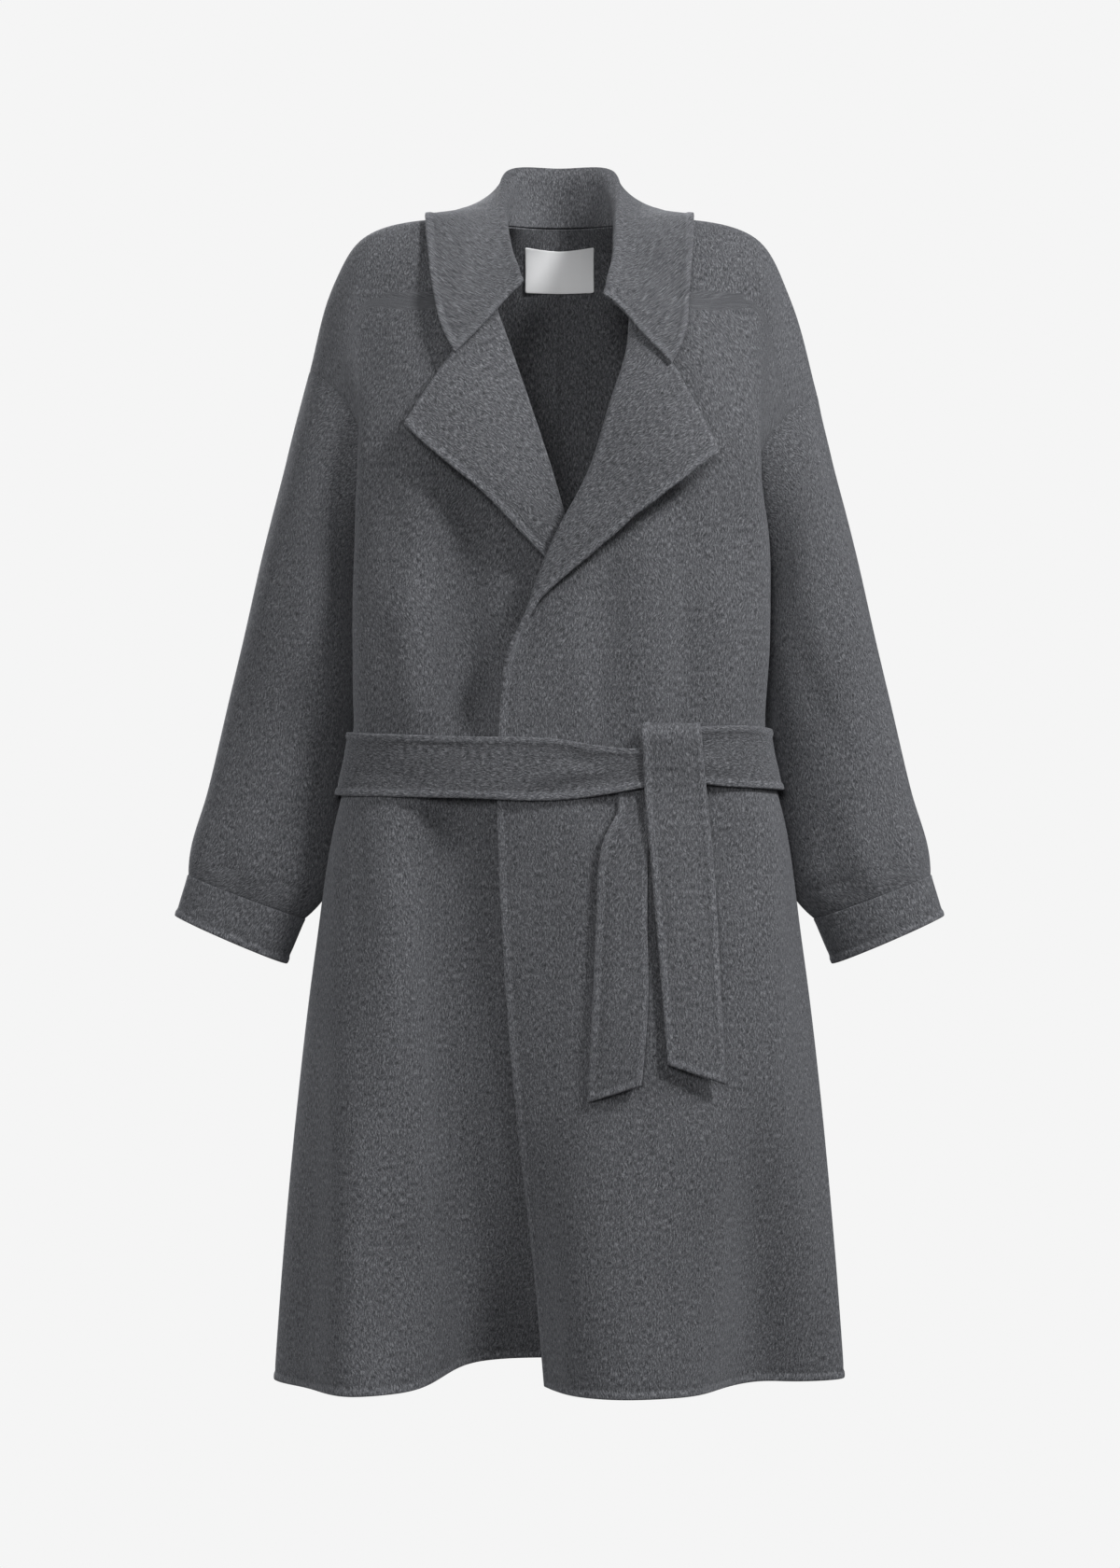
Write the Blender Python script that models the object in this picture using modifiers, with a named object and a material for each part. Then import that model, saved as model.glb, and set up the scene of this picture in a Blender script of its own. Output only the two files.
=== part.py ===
"""A long belted coat in brushed wool, filled out and hollow, as if held up by a wearer's shoulders.

Metres. +X is to the viewer's right, the coat's front faces -Y and +Z is up. The origin is the middle of
the neck opening, at the height of the shoulders. Each piece that a maker cuts is one object: a smooth
sheet lofted through a few lines of the garment, then given the thickness of the cloth.

The tables are in millimetres. In them "out" is the distance from the coat's middle towards the piece's
own side, "depth" is Y and "height" is Z.
"""
import bpy
import numpy as np

MM = 0.001

# ---- cloth ----
WALL = 2.6 * MM
CUFF_WALL = 3.0 * MM
BELT_WALL = 3.6 * MM
LABEL_WALL = 0.8 * MM
SEAM_GAP = 0.3 * MM
NEAR_SHARE = 0.75
LONGEST_SHARE = 0.6
ARMHOLE_EASE = 0.4 * MM
UNDERARM_EASE = 4 * MM
ROLL_RADIUS = 4.5 * MM
TURN_LENGTH = np.pi * ROLL_RADIUS
EDGE_WIDTH = 7 * MM
EDGE_REACH = TURN_LENGTH + EDGE_WIDTH
LAPEL_BILLOW = 0.05
COLLAR_ROLL_RADIUS = 6.0 * MM

# ---- colours, linear ----
WOOL = (0.075, 0.078, 0.082)
LABEL_WHITE = (0.62, 0.64, 0.66)
CLOTH_ROUGHNESS = 0.95

# ---- body, below the armholes: a row for each level section, from the hem up ----
# Each pair is (out, depth). "roll" is the line where the lapel turns over, and lower down the line
# EDGE_REACH inside the front edge. "fold" is the front's outermost fold, and "tuck" lies between it and
# the side seam.
LEVELS = (-1174, -1050, -900, -740, -620, -553, -490, -440, -390, -330)
FRONT_OVERLAP = (
    # roll        chest        crest         fold          tuck
    ((-2, -75), (62, -143), (120, -128), (187, -40), (238, -26)),
    ((-12, -84), (68, -142), (135, -120), (205, -62), (250, -38)),
    ((-24, -100), (75, -136), (150, -126), (222, -76), (252, -38)),
    ((-35, -110), (72, -128), (160, -106), (220, -66), (238, -30)),
    ((-40, -117), (70, -126), (158, -92), (213, -58), (227, -28)),
    ((-40, -120), (60, -121), (140, -102), (198, -60), (212, -27)),
    ((-37, -124), (60, -127), (138, -112), (205, -58), (202, -25)),
    ((-33, -127), (62, -130), (142, -115), (209, -60), (195, -26)),
    ((-22, -129), (66, -131), (145, -116), (210, -60), (190, -26)),
    ((0, -131), (72, -130), (148, -115), (209, -61), (186, -28)),
)
FRONT_UNDERLAP = (
    ((0, -16), (85, -22), (150, -104), (207, -124), (250, -68)),
    ((-10, -58), (80, -52), (148, -100), (205, -116), (245, -64)),
    ((-20, -82), (78, -77), (145, -108), (204, -106), (240, -58)),
    ((-30, -98), (88, -86), (152, -108), (208, -86), (234, -44)),
    ((-35, -108), (92, -92), (156, -98), (208, -68), (226, -32)),
    ((-35, -112), (70, -110), (142, -99), (198, -60), (212, -27)),
    ((-35, -112), (75, -98), (146, -111), (205, -58), (202, -25)),
    ((-30, -107), (78, -96), (150, -114), (206, -60), (195, -26)),
    ((-19, -104), (78, -97), (150, -115), (206, -60), (190, -26)),
    ((-7, -109), (78, -102), (150, -114), (204, -62), (185, -29)),
)
SIDE_SEAM = (
    (288, 2), (279, 0), (265, 0), (246, 0), (226, 4), (205, 4), (188, 6), (179, 6), (172, 6), (169, 5),
)
BACK = (
    # centre    neck       blade      crest       fold       tuck
    ((0, 118), (50, 128), (95, 140), (150, 132), (205, 100), (255, 52)),
    ((0, 116), (50, 122), (95, 130), (148, 124), (198, 96), (245, 50)),
    ((0, 114), (52, 118), (96, 123), (145, 116), (190, 92), (233, 48)),
    ((0, 111), (52, 114), (96, 116), (142, 106), (182, 82), (222, 44)),
    ((0, 107), (52, 109), (96, 108), (140, 97), (173, 76), (202, 44)),
    ((0, 103), (52, 103), (96, 101), (136, 90), (165, 70), (188, 42)),
    ((0, 108), (52, 108), (97, 106), (140, 94), (172, 74), (187, 46)),
    ((0, 112), (52, 112), (98, 110), (142, 98), (176, 76), (186, 48)),
    ((0, 115), (53, 115), (98, 113), (144, 100), (179, 78), (185, 49)),
    ((0, 117), (54, 117), (99, 115), (146, 102), (181, 80), (184, 50)),
)
# The underlap's hem is drawn up where it hangs behind the overlap: a lift for each line from the edge.
OVERLAP_HEM_LIFT = (0, 0, 0, 0, 0, 0)
UNDERLAP_HEM_LIFT = (24, 20, 2, 0, 0, 0)
BACK_HEM_LIFT = 5

# ---- body, from the armholes to the shoulder seam: a row for each line round the body ----
# Each triple is (out, depth, height). The last row is the shoulder seam, shared by front and back.
FRONT_YOKE = (
    # chest               crest               fold                tuck                 armhole
    ((88, -108, -268), (148, -115, -272), (202, -74, -280), (189, -56, -286), (183, -38, -291)),
    ((95, -110, -202), (146, -112, -210), (199, -80, -225), (195, -71, -238), (192, -61, -247)),
    ((102, -100, -142), (143, -98, -148), (198, -72, -165), (201, -73, -190), (201, -67, -211)),
    ((108, -80, -97), (140, -74, -98), (199, -52, -100), (211, -60, -142), (219, -56, -182)),
    ((102, -40, -34), (137, -44, -31), (201, -34, -48), (222, -36, -94), (238, -38, -163)),
)
BACK_YOKE = (
    # centre        neck            blade             crest             fold              tuck              armhole
    ((0, 117, -270), (54, 117, -270), (100, 115, -272), (147, 103, -275), (184, 82, -281), (189, 66, -287),
     (183, 42, -291)),
    ((0, 115, -200), (55, 114, -201), (101, 112, -205), (148, 101, -212), (183, 86, -226), (194, 76, -238),
     (192, 62, -247)),
    ((0, 108, -130), (56, 106, -132), (102, 103, -138), (148, 94, -148), (184, 82, -168), (200, 78, -192),
     (201, 68, -211)),
    ((0, 97, -72), (57, 94, -74), (104, 90, -80), (146, 82, -88), (186, 70, -110), (208, 64, -148),
     (220, 58, -182)),
    ((0, 86, -26), (58, 62, -22), (102, 54, -26), (140, 48, -32), (196, 38, -52), (219, 38, -98),
     (238, 36, -163)),
)
SHOULDER_SEAM = ((62, 22, -2), (98, 8, 0), (134, -3, 0), (202, -8, -22), (228, -7, -66), (252, -6, -153))
BACK_NECK = (0, 75, 2)
# The overlap's shoulder is a little longer, so its armhole sits lower: (out, depth, height) at the seam,
# and how much of it each line of the yoke takes, from the side seam's top to the shoulder.
LONG_SHOULDER = (8, 0, -24)
LONG_SHOULDER_SHARE = (0.2, 0.4, 0.7, 0.9, 1.0, 1.0)

# Roll lines above the armholes' foot, where the lapel lies folded back on its front. The last row is on
# the neck's edge. The lapels' free edges start one section lower and end at the lapel's point.
OVERLAP_ROLL = ((31, -131, -265), (52, -123, -200), (71, -104, -140), (74, -84, -100), (70, -36, -50))
OVERLAP_LAPEL = ((30, -152, -348), (72, -160, -310), (107, -163, -284), (135, -160, -262), (157, -150, -246))
UNDERLAP_ROLL = ((11, -114, -265), (33, -112, -200), (54, -99, -140), (68, -80, -98), (68, -34, -49))
UNDERLAP_LAPEL = ((12, -123, -350), (72, -138, -288), (102, -142, -263), (130, -142, -240), (153, -134, -217))
# How far the lapel has turned over at each section from the hem up, in degrees.
OVERLAP_TURN = (0, 0, 0, 0, 0, 0, 0, 60, 145, 178, 180, 180, 180, 180)
UNDERLAP_TURN = (0, 0, 0, 0, 0, 0, 0, 20, 95, 175, 180, 180, 180, 180)

# ---- sleeves: a row for each ring from below the armhole to the cuff's seam ----
SLEEVE = (
    # outer (out, height), inner (out, height), half depth, middle depth, bow towards the body
    (266, -202, 201, -374, 62, 9, 8),
    (289, -296, 204, -434, 64, 14, 2),
    (313, -391, 208, -494, 62, 22, 0),
    (337, -486, 216, -560, 57, 33, 0),
    (359, -580, 227, -632, 53, 34, 0),
    (377, -646, 239, -684, 47, 30, 0),
    (378, -664, 261, -708, 39, 27, 0),
)
CUFF_END = (391, -706, 280, -754, 37, 25)

# ---- collar: a row for each station from the front end to the centre back ----
# "ridge" is the top of the roll, "rim" the free outer edge.
COLLAR_UNDERLAP = (
    # ridge              rim
    ((37, -96, -74), (103, -128, -147)),
    ((41, -86, -60), (114, -118, -126)),
    ((48, -62, -40), (126, -90, -80)),
    ((53, -32, -15), (133, -54, -27)),
    ((57, 2, 12), (136, -8, 6)),
    ((59, 30, 36), (136, 26, 3)),
    ((53, 60, 60), (110, 76, -10)),
    ((0, 82, 65), (0, 104, -30)),
)
COLLAR_OVERLAP = (
    ((45, -102, -88), (110, -132, -158)),
    ((48, -91, -72), (122, -122, -134)),
    ((54, -64, -48), (129, -92, -80)),
    ((57, -32, -17), (134, -54, -27)),
    ((59, 2, 12), (136, -8, 6)),
    ((60, 30, 36), (136, 26, 3)),
    ((54, 60, 60), (110, 76, -10)),
    ((0, 82, 65), (0, 104, -30)),
)
# Where each station's stand is sewn: 0 at the top of the lapel, 1 at the shoulder seam, 2 at centre back.
COLLAR_SEAT = WALL / 2 + SEAM_GAP + 1.0 * MM
COLLAR_BILLOW = 4 * MM
COLLAR_SEWN_AT = (0.08, 0.22, 0.45, 0.65, 0.88, 1.15, 1.5, 2.0)

# ---- belt: heights of its edges for a walk round the waist, in degrees from the front's middle ----
BELT_EDGES = (
    # degrees, top, bottom
    (-90, -518, -582),
    (-40, -524, -585),
    (0, -527, -587),
    (18, -534, -582),
    (30, -536, -576),
    (42, -518, -568),
    (62, -513, -574),
    (90, -518, -578),
    (180, -518, -582),
)
BELT_CLEARANCE = 1.8 * MM
BELT_MARGIN = 10 * MM
KNOT_ANGLE = 33
KNOT_BULGE = 9 * MM
KNOT_SPREAD = 15
# Tails: left and right edges (x), height and distance in front of the coat, from the top down.
FRONT_TAIL = (
    (82, 138, -512, 10),
    (80, 139, -519, 18.7),
    (82, 141, -545, 20.7),
    (83, 144, -572, 19.7),
    (90, 152, -657, 16),
    (99, 158, -761, 13),
    (106, 163, -846, 11),
)
FRONT_TAIL_SLANT = 20 * MM
BACK_TAIL = (
    (56, 96, -572, 5),
    (58, 92, -592, 6),
    (43, 88, -626, 8),
    (36, 86, -700, 8),
    (33, 87, -777, 7),
    (28, 80, -884, 7),
)
BACK_TAIL_SLANT = -18 * MM

# ---- label ----
LABEL_HALF_WIDTH = 36 * MM
LABEL_TOP = -19 * MM
LABEL_BOTTOM = -62 * MM
LABEL_GAP = 1.9 * MM

# ---- how finely each sheet is divided ----
ROWS_BELOW = np.array([0, 0.5, 1, 1.5, 2, 2.5, 3, 3.6, 4, 4.5, 5, 5.5, 6, 7, 7.5, 8, 8.5])
ROWS_ARMHOLE = np.array([9, 10, 11, 12, 12.5, 13, 13.5, 14, 14.5, 15])
FRONT_COLUMNS = np.array([0, 0.5, 1, 1.5, 2, 2.35, 2.7, 3, 3.3, 3.65, 4, 4.5, 5])
BACK_NECK_COLUMNS = np.array([0, 0.25, 0.5, 0.75])
LAPEL_TOP_ROW = 13
TURN_COLUMNS = 3
FLAT_COLUMNS = 3


def curve_through(points, positions):
    """A smooth curve through the points, read at fractional indices: cubic, with each point's tangent
    weighed between the chords on its two sides."""
    points = np.asarray(points, float)
    steps = np.diff(points, axis=0)
    lengths = np.maximum(np.linalg.norm(steps, axis=-1, keepdims=True), 1e-9)
    slopes = steps / lengths
    inner = (slopes[:-1] * lengths[1:] + slopes[1:] * lengths[:-1]) / (lengths[:-1] + lengths[1:])
    first = 1.5 * slopes[:1] - 0.5 * inner[:1]
    last = 1.5 * slopes[-1:] - 0.5 * inner[-1:]
    tangents = np.concatenate([first, inner, last])
    positions = np.asarray(positions, float)
    index = np.clip(np.floor(positions).astype(int), 0, len(points) - 2)
    part = (positions - index).reshape((-1,) + (1,) * (points.ndim - 1))
    span = lengths[index]
    start_weight = 2 * part**3 - 3 * part**2 + 1
    start_pull = part**3 - 2 * part**2 + part
    end_pull = part**3 - part**2
    return (start_weight * points[index] + (1 - start_weight) * points[index + 1]
            + span * (start_pull * tangents[index] + end_pull * tangents[index + 1]))


def read_between(grid, positions):
    """Rows of a grid at fractional numbers, straight between their neighbours."""
    low = np.minimum(np.floor(positions).astype(int), len(grid) - 2)
    share = (positions - low).reshape((-1,) + (1,) * (grid.ndim - 1))
    return grid[low] * (1 - share) + grid[low + 1] * share


def unit(vectors):
    """The vectors at length one."""
    return vectors / np.maximum(np.linalg.norm(vectors, axis=-1, keepdims=True), 1e-12)


# ---------------------------------------------------------------------------------------------- body lines

def front_lines(levels_table, roll_table, long_shoulder, hem_lift):
    """Lines of one front from hem to shoulder: roll, chest, crest, fold, tuck, side seam with armhole.
    The result is rows x lines x 3, in metres, with out as its first coordinate."""
    rows = []
    for number, (height, pairs) in enumerate(zip(LEVELS, levels_table)):
        line = [(out, depth, height) for out, depth in pairs]
        line.append((*SIDE_SEAM[number], height))
        rows.append(line)
    rows[0] = [(out, depth, height + lift) for (out, depth, height), lift in zip(rows[0], hem_lift)]
    for roll, yoke in zip(roll_table, FRONT_YOKE):
        rows.append([roll, *yoke])
    rows.append(list(SHOULDER_SEAM))
    rows = np.array(rows, float)
    return lengthen_shoulder(rows, long_shoulder) * MM


def back_lines(long_shoulder):
    """Lines of one half of the back from hem to shoulder: centre, neck, blade, crest, fold, tuck, side
    seam with armhole."""
    rows = []
    for number, (height, pairs) in enumerate(zip(LEVELS, BACK)):
        line = [(out, depth, height) for out, depth in pairs]
        line.append((*SIDE_SEAM[number], height))
        rows.append(line)
    rows[0] = [(out, depth, height + BACK_HEM_LIFT) for out, depth, height in rows[0][:-1]] + rows[0][-1:]
    rows.extend(list(row) for row in BACK_YOKE)
    rows.append([BACK_NECK, *SHOULDER_SEAM])
    rows = np.array(rows, float)
    return lengthen_shoulder(rows, long_shoulder) * MM


def lengthen_shoulder(rows, long_shoulder):
    """Move the armhole line, and the tuck beside it half as much, by the longer shoulder."""
    share = np.array(LONG_SHOULDER_SHARE)[:, None] * np.array(long_shoulder, float)
    rows[-6:, -1] += share
    rows[-6:, -2] += share / 2
    return rows


def loft(lines, rows, columns, above, beside):
    """A sheet through the lines. "above" is the row of points that the surface goes on to past its last
    row, and "beside" the line past its last column, so that tangents run on across the seams. The last
    line turns a corner at the armhole's foot, from the side seam to the armhole."""
    down = curve_through(np.concatenate([lines, above[None]]), rows)
    corner = len(LEVELS) - 1
    up_side = rows <= corner
    down[up_side, -1] = curve_through(lines[:corner + 1, -1], rows[up_side])
    armhole = np.concatenate([lines[corner:, -1], above[None, -1]])
    down[~up_side, -1] = curve_through(armhole, rows[~up_side] - corner)
    beside_down = curve_through(beside, rows)
    across = np.concatenate([down, beside_down[:, None]], axis=1)
    return np.swapaxes(curve_through(np.swapaxes(across, 0, 1), columns), 0, 1)


def body_sheets(levels_table, roll_table, long_shoulder, hem_lift):
    """Front and back of one side, before their lapel and with edges that meet exactly."""
    front = front_lines(levels_table, roll_table, long_shoulder, hem_lift)
    back = back_lines(long_shoulder)
    rows = np.concatenate([ROWS_BELOW, ROWS_ARMHOLE])
    seam = len(LEVELS)
    past_front = back[:, -2].copy()
    past_back = front[:, -2].copy()
    past_front[seam:] = 2 * front[seam:, -1] - front[seam:, -2]
    past_back[seam:] = 2 * back[seam:, -1] - back[seam:, -2]
    front_sheet = loft(front, rows, FRONT_COLUMNS, back[-2, 1:], past_front)
    above_back = np.concatenate([back[-1:, 0] + (0, -0.02, 0.03), front[-2]])
    past_centre = back[:, 1:2] * (-1, 1, 1)
    back = np.concatenate([past_centre, back], axis=1)
    above_back = np.concatenate([above_back[1:2] * (-1, 1, 1), above_back])
    back_columns = np.concatenate([BACK_NECK_COLUMNS, FRONT_COLUMNS + 1]) + 1
    back_sheet = loft(back, rows, back_columns, above_back, past_back)
    back_sheet[-1, len(BACK_NECK_COLUMNS):] = front_sheet[-1]
    return front_sheet, back_sheet


# ------------------------------------------------------------------------------------------------- lapels

def add_lapel(sheet, lapel_rows, turns, rows):
    """The front's cloth past its roll line, as extra columns before the sheet's own. It turns over on a
    small radius where the lapel lies back, and runs on flat to the front edge lower down."""
    last = int(np.searchsorted(rows, LAPEL_TOP_ROW)) + 1
    turn = np.radians(np.interp(rows[:last], np.arange(len(turns)), turns))[:, None]
    roll = sheet[:last, 0]
    along = unit(np.gradient(sheet[:, 0], axis=0)[:last])
    inward = sheet[:last, 1] - roll
    inward = unit(inward - along * np.sum(inward * along, axis=1, keepdims=True))
    outward = np.cross(along, inward)
    outward *= -np.sign(outward[:, 1:2])
    columns = []
    for step in range(1, TURN_COLUMNS + 1):
        swept = np.maximum(turn * step / TURN_COLUMNS, 1e-4)
        radius = TURN_LENGTH * step / TURN_COLUMNS / swept
        columns.append(roll - inward * radius * np.sin(swept) + outward * radius * (1 - np.cos(swept)))
    foot = columns[-1]
    reach = (outward * np.sin(turn) - inward * np.cos(turn)) * EDGE_WIDTH
    start = LAPEL_TOP_ROW - len(lapel_rows)
    known = np.searchsorted(rows, np.arange(start, LAPEL_TOP_ROW + 1))
    given = np.array(lapel_rows, float) * MM - foot[known[1:]]
    upper = rows[:last] > start
    reach[upper] = curve_through(np.concatenate([reach[known[:1]], given]), rows[:last][upper] - start)
    width = np.linalg.norm(reach, axis=1, keepdims=True)
    for step in range(1, FLAT_COLUMNS + 1):
        share = step / FLAT_COLUMNS
        billow = LAPEL_BILLOW * width * np.sin(turn / 2) ** 4 * np.sin(np.pi * share)
        columns.append(foot + reach * share + outward * billow)
    lapel = np.full((len(sheet), len(columns), 3), np.nan)
    lapel[:last] = np.stack(columns[::-1], axis=1)
    return np.concatenate([lapel, sheet], axis=1)


# --------------------------------------------------------------------------------------- seams and meshes

def draw_back(grid, edge, beyond=None, wall=WALL, loop=False, ease=0.0):
    """Shorten a sheet at one edge, by half a seam's gap and by what its thickness needs where the
    neighbour's cloth leaves at an angle. "beyond" holds the neighbour's first points past the edge."""
    first, second = {
        "left": (np.s_[:, 0], np.s_[:, 1]),
        "right": (np.s_[:, -1], np.s_[:, -2]),
        "bottom": (np.s_[0], np.s_[1]),
        "top": (np.s_[-1], np.s_[-2]),
    }[edge]
    line = grid[first]
    along = np.roll(line, -1, axis=0) - np.roll(line, 1, axis=0) if loop else np.gradient(line, axis=0)
    along = unit(along)
    inward = unit(grid[second] - line)
    level = inward - along * np.sum(inward * along, axis=-1, keepdims=True)
    slant = np.maximum(np.linalg.norm(level, axis=-1, keepdims=True), 0.3)
    distance = np.full(slant.shape, SEAM_GAP / 2 + ease)
    if beyond is not None:
        onward = beyond - line
        onward = unit(onward - along * np.sum(onward * along, axis=-1, keepdims=True))
        cosine = np.clip(-np.sum(unit(level) * onward, axis=-1, keepdims=True), -0.9, 1)
        distance += wall / 2 * np.sqrt((1 - cosine) / (1 + cosine))
        beside = np.pad(distance, ((1, 1), (0, 0)), mode="wrap" if loop else "edge")
        distance = np.maximum(distance, NEAR_SHARE * np.maximum(beside[:-2], beside[2:]))
    limit = LONGEST_SHARE * np.linalg.norm(grid[second] - line, axis=-1, keepdims=True)
    grid[first] = line + inward * np.minimum(distance / slant, limit)


def mirrored(grid, side):
    """The grid on its own side of the coat: side is +1 for the viewer's right and -1 for the left."""
    return grid * (side, 1, 1)


def material(name, colour, roughness):
    """A plain dielectric of one colour."""
    finish = bpy.data.materials.new(name)
    finish.use_nodes = True
    shader = finish.node_tree.nodes["Principled BSDF"]
    shader.inputs["Base Color"].default_value = (*colour, 1)
    shader.inputs["Roughness"].default_value = roughness
    shader.inputs["Metallic"].default_value = 0
    finish.diffuse_color = (*colour, 1)
    return finish


def sheet_object(name, grid, wall, colour=WOOL, closed=False):
    """A grid of points as a sheet of cloth with its thickness. Points that are not numbers are left out.
    A closed grid joins its last column to its first."""
    row_count, column_count = grid.shape[:2]
    kept = ~np.isnan(grid[..., 0])
    number = np.cumsum(kept.ravel()).reshape(kept.shape) - 1
    faces = []
    for row in range(row_count - 1):
        for column in range(column_count if closed else column_count - 1):
            beside = (column + 1) % column_count
            corners = ((row, column), (row, beside), (row + 1, beside), (row + 1, column))
            if all(kept[corner] for corner in corners):
                faces.append([int(number[corner]) for corner in corners])
    mesh = bpy.data.meshes.new(name)
    mesh.from_pydata(grid[kept].tolist(), [], faces)
    mesh.materials.append(material(name, colour, CLOTH_ROUGHNESS))
    mesh.shade_smooth()
    piece = bpy.data.objects.new(name, mesh)
    coat.objects.link(piece)
    thickness = piece.modifiers.new("cloth", "SOLIDIFY")
    thickness.thickness = wall
    thickness.offset = 0
    return piece


# ------------------------------------------------------------------------------------------------ sleeves

def ring(row, around):
    """An oval ring of a sleeve from its outer and inner points. "around" runs from the inner point
    forward and up to the outer point, then back behind, in radians."""
    outer_out, outer_height, inner_out, inner_height, half_depth, middle_depth = row[:6]
    bow = row[6] if len(row) > 6 else 0
    middle = np.array([(outer_out + inner_out) / 2, middle_depth, (outer_height + inner_height) / 2])
    half = np.array([(inner_out - outer_out) / 2, 0, (inner_height - outer_height) / 2])
    towards_body = unit(np.array([half[2], 0, -half[0]])) * -1
    cosine = np.cos(around)[:, None]
    sine = np.sin(around)[:, None]
    return (middle + half * cosine - np.array([0, half_depth, 0]) * sine + towards_body * bow * sine**2) * MM


def sleeve_sheet(armhole, finish_rows):
    """Rings from the armhole's loop to the cuff, joined by smooth lines along the sleeve."""
    around = np.linspace(0, 2 * np.pi, len(armhole), endpoint=False)
    rings = [armhole] + [ring(row, around) for row in SLEEVE]
    return curve_through(np.array(rings), finish_rows)


# --------------------------------------------------------------------------------------------------- belt

def level_section(levels_table, height):
    """Front and back of one side at one height below the armholes, each as points from its middle edge
    to the side seam. The front starts at its free edge."""
    index = np.interp(height, np.array(LEVELS) * MM, np.arange(len(LEVELS)))
    front = np.array([[*pairs, seam] for pairs, seam in zip(levels_table, SIDE_SEAM)], float) * MM
    back = np.array([[*pairs, seam] for pairs, seam in zip(BACK, SIDE_SEAM)], float) * MM
    front = curve_through(front, [index])[0]
    back = curve_through(back, [index])[0]
    edge = front[:1] - unit(front[1:2] - front[:1]) * EDGE_REACH
    front_curve = curve_through(np.append(front, back[-2:-1], axis=0), np.linspace(0, 6, 31))
    front_curve = np.append(edge, front_curve, axis=0)
    back_curve = curve_through(np.append(back, front[-2:-1], axis=0), np.linspace(0, 6, 31))
    return front_curve, back_curve


def wrap(height, angles, clearance):
    """A taut loop round the waist at one height, this far outside the panels' middle surface: for each
    direction, the nearest of the lines that touch the section."""
    sections = []
    for table, side in ((FRONT_OVERLAP, 1), (FRONT_UNDERLAP, -1)):
        for near in (height - BELT_MARGIN, height + BELT_MARGIN):
            sections.extend(curve * (side, 1) for curve in level_section(table, near))
    section = np.concatenate(sections)
    facing = np.radians(np.arange(0, 360, 3))
    normals = np.stack([np.sin(facing), -np.cos(facing)], axis=1)
    reach = (section @ normals.T).max(axis=0) + clearance
    across = np.cos(angles[:, None] - facing[None])
    distance = np.where(across > 0.2, reach / np.maximum(across, 0.2), np.inf).min(axis=1)
    return np.stack([np.sin(angles) * distance, -np.cos(angles) * distance], axis=1)


def belt_sheet(step_count, across_count):
    """The belt's stretch round the waist as a closed band: angles from the front's middle towards the
    viewer's right."""
    angles = np.linspace(-np.pi, np.pi, step_count, endpoint=False)
    table = np.array(BELT_EDGES, float)
    degrees = np.degrees(angles)
    closed = np.concatenate([table[-1:] - (360, 0, 0), table])
    top = np.interp(degrees, closed[:, 0], closed[:, 1]) * MM
    bottom = np.interp(degrees, closed[:, 0], closed[:, 2]) * MM
    clearance = WALL / 2 + BELT_CLEARANCE + BELT_WALL / 2
    bulge = KNOT_BULGE * np.exp(-((degrees - KNOT_ANGLE) / KNOT_SPREAD) ** 2)
    rows = []
    for share in np.linspace(0, 1, across_count):
        middle_height = (bottom + (top - bottom) * share).mean()
        plan = wrap(middle_height, angles, clearance)
        plan *= 1 + bulge[:, None] / np.linalg.norm(plan, axis=1, keepdims=True)
        rows.append(np.column_stack([plan, bottom + (top - bottom) * share]))
    return np.array(rows)


def overlap_depth(x, height):
    """Depth of the overlap's middle surface at a place on the viewer's right."""
    front = level_section(FRONT_OVERLAP, height)[0]
    widest = int(np.argmax(front[:, 0]))
    return np.interp(x, front[:widest, 0], front[:widest, 1])


def tail_sheet(table, slant, row_count, column_count):
    """A hanging end of the belt, from its table of edges, cut slanting at its foot."""
    table = np.array(table, float)
    positions = np.linspace(0, len(table) - 1, row_count)
    rows = curve_through(table, positions) * MM
    share = np.linspace(0, 1, column_count)
    grid = []
    for number, (left, right, height, clear) in enumerate(rows):
        x = left + (right - left) * share
        fall = np.linspace(0, 1, row_count)[number] ** 8 * slant
        heights = height - fall * share
        grid.append(np.column_stack([x, overlap_depth(x, height) - clear, heights]))
    return np.array(grid)


# ------------------------------------------------------------------------------------------------- collar

def collar_half(stations, neck_line, neck_marks, positions):
    """One half of the collar, from its front end to the centre back: a row for each place along the neck
    and a column for each place across, from the sewn edge over the ridge to the rim."""
    stations = np.array(stations, float) * MM
    stations = np.append(stations, stations[-2:-1] * (-1, 1, 1), axis=0)
    ridge, rim = np.swapaxes(curve_through(stations, positions), 0, 1)
    sewn_at = np.interp(positions, np.arange(len(COLLAR_SEWN_AT)), COLLAR_SEWN_AT)
    sewn_at = np.interp(sewn_at, (0, 1, 2), neck_marks)
    sewn = read_between(neck_line, sewn_at)
    up = unit(ridge - sewn)
    out = rim - sewn
    out = unit(out - up * np.sum(out * up, axis=1, keepdims=True))
    start = sewn + up * COLLAR_SEAT
    inside = ridge - (up + out) * COLLAR_ROLL_RADIUS
    outside = ridge + (out - up) * COLLAR_ROLL_RADIUS
    middle = (outside + rim) / 2 + out * COLLAR_BILLOW
    return np.stack([start, (start + inside) / 2, inside, ridge, outside, middle, rim])


# -------------------------------------------------------------------------------------------------- label

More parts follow.
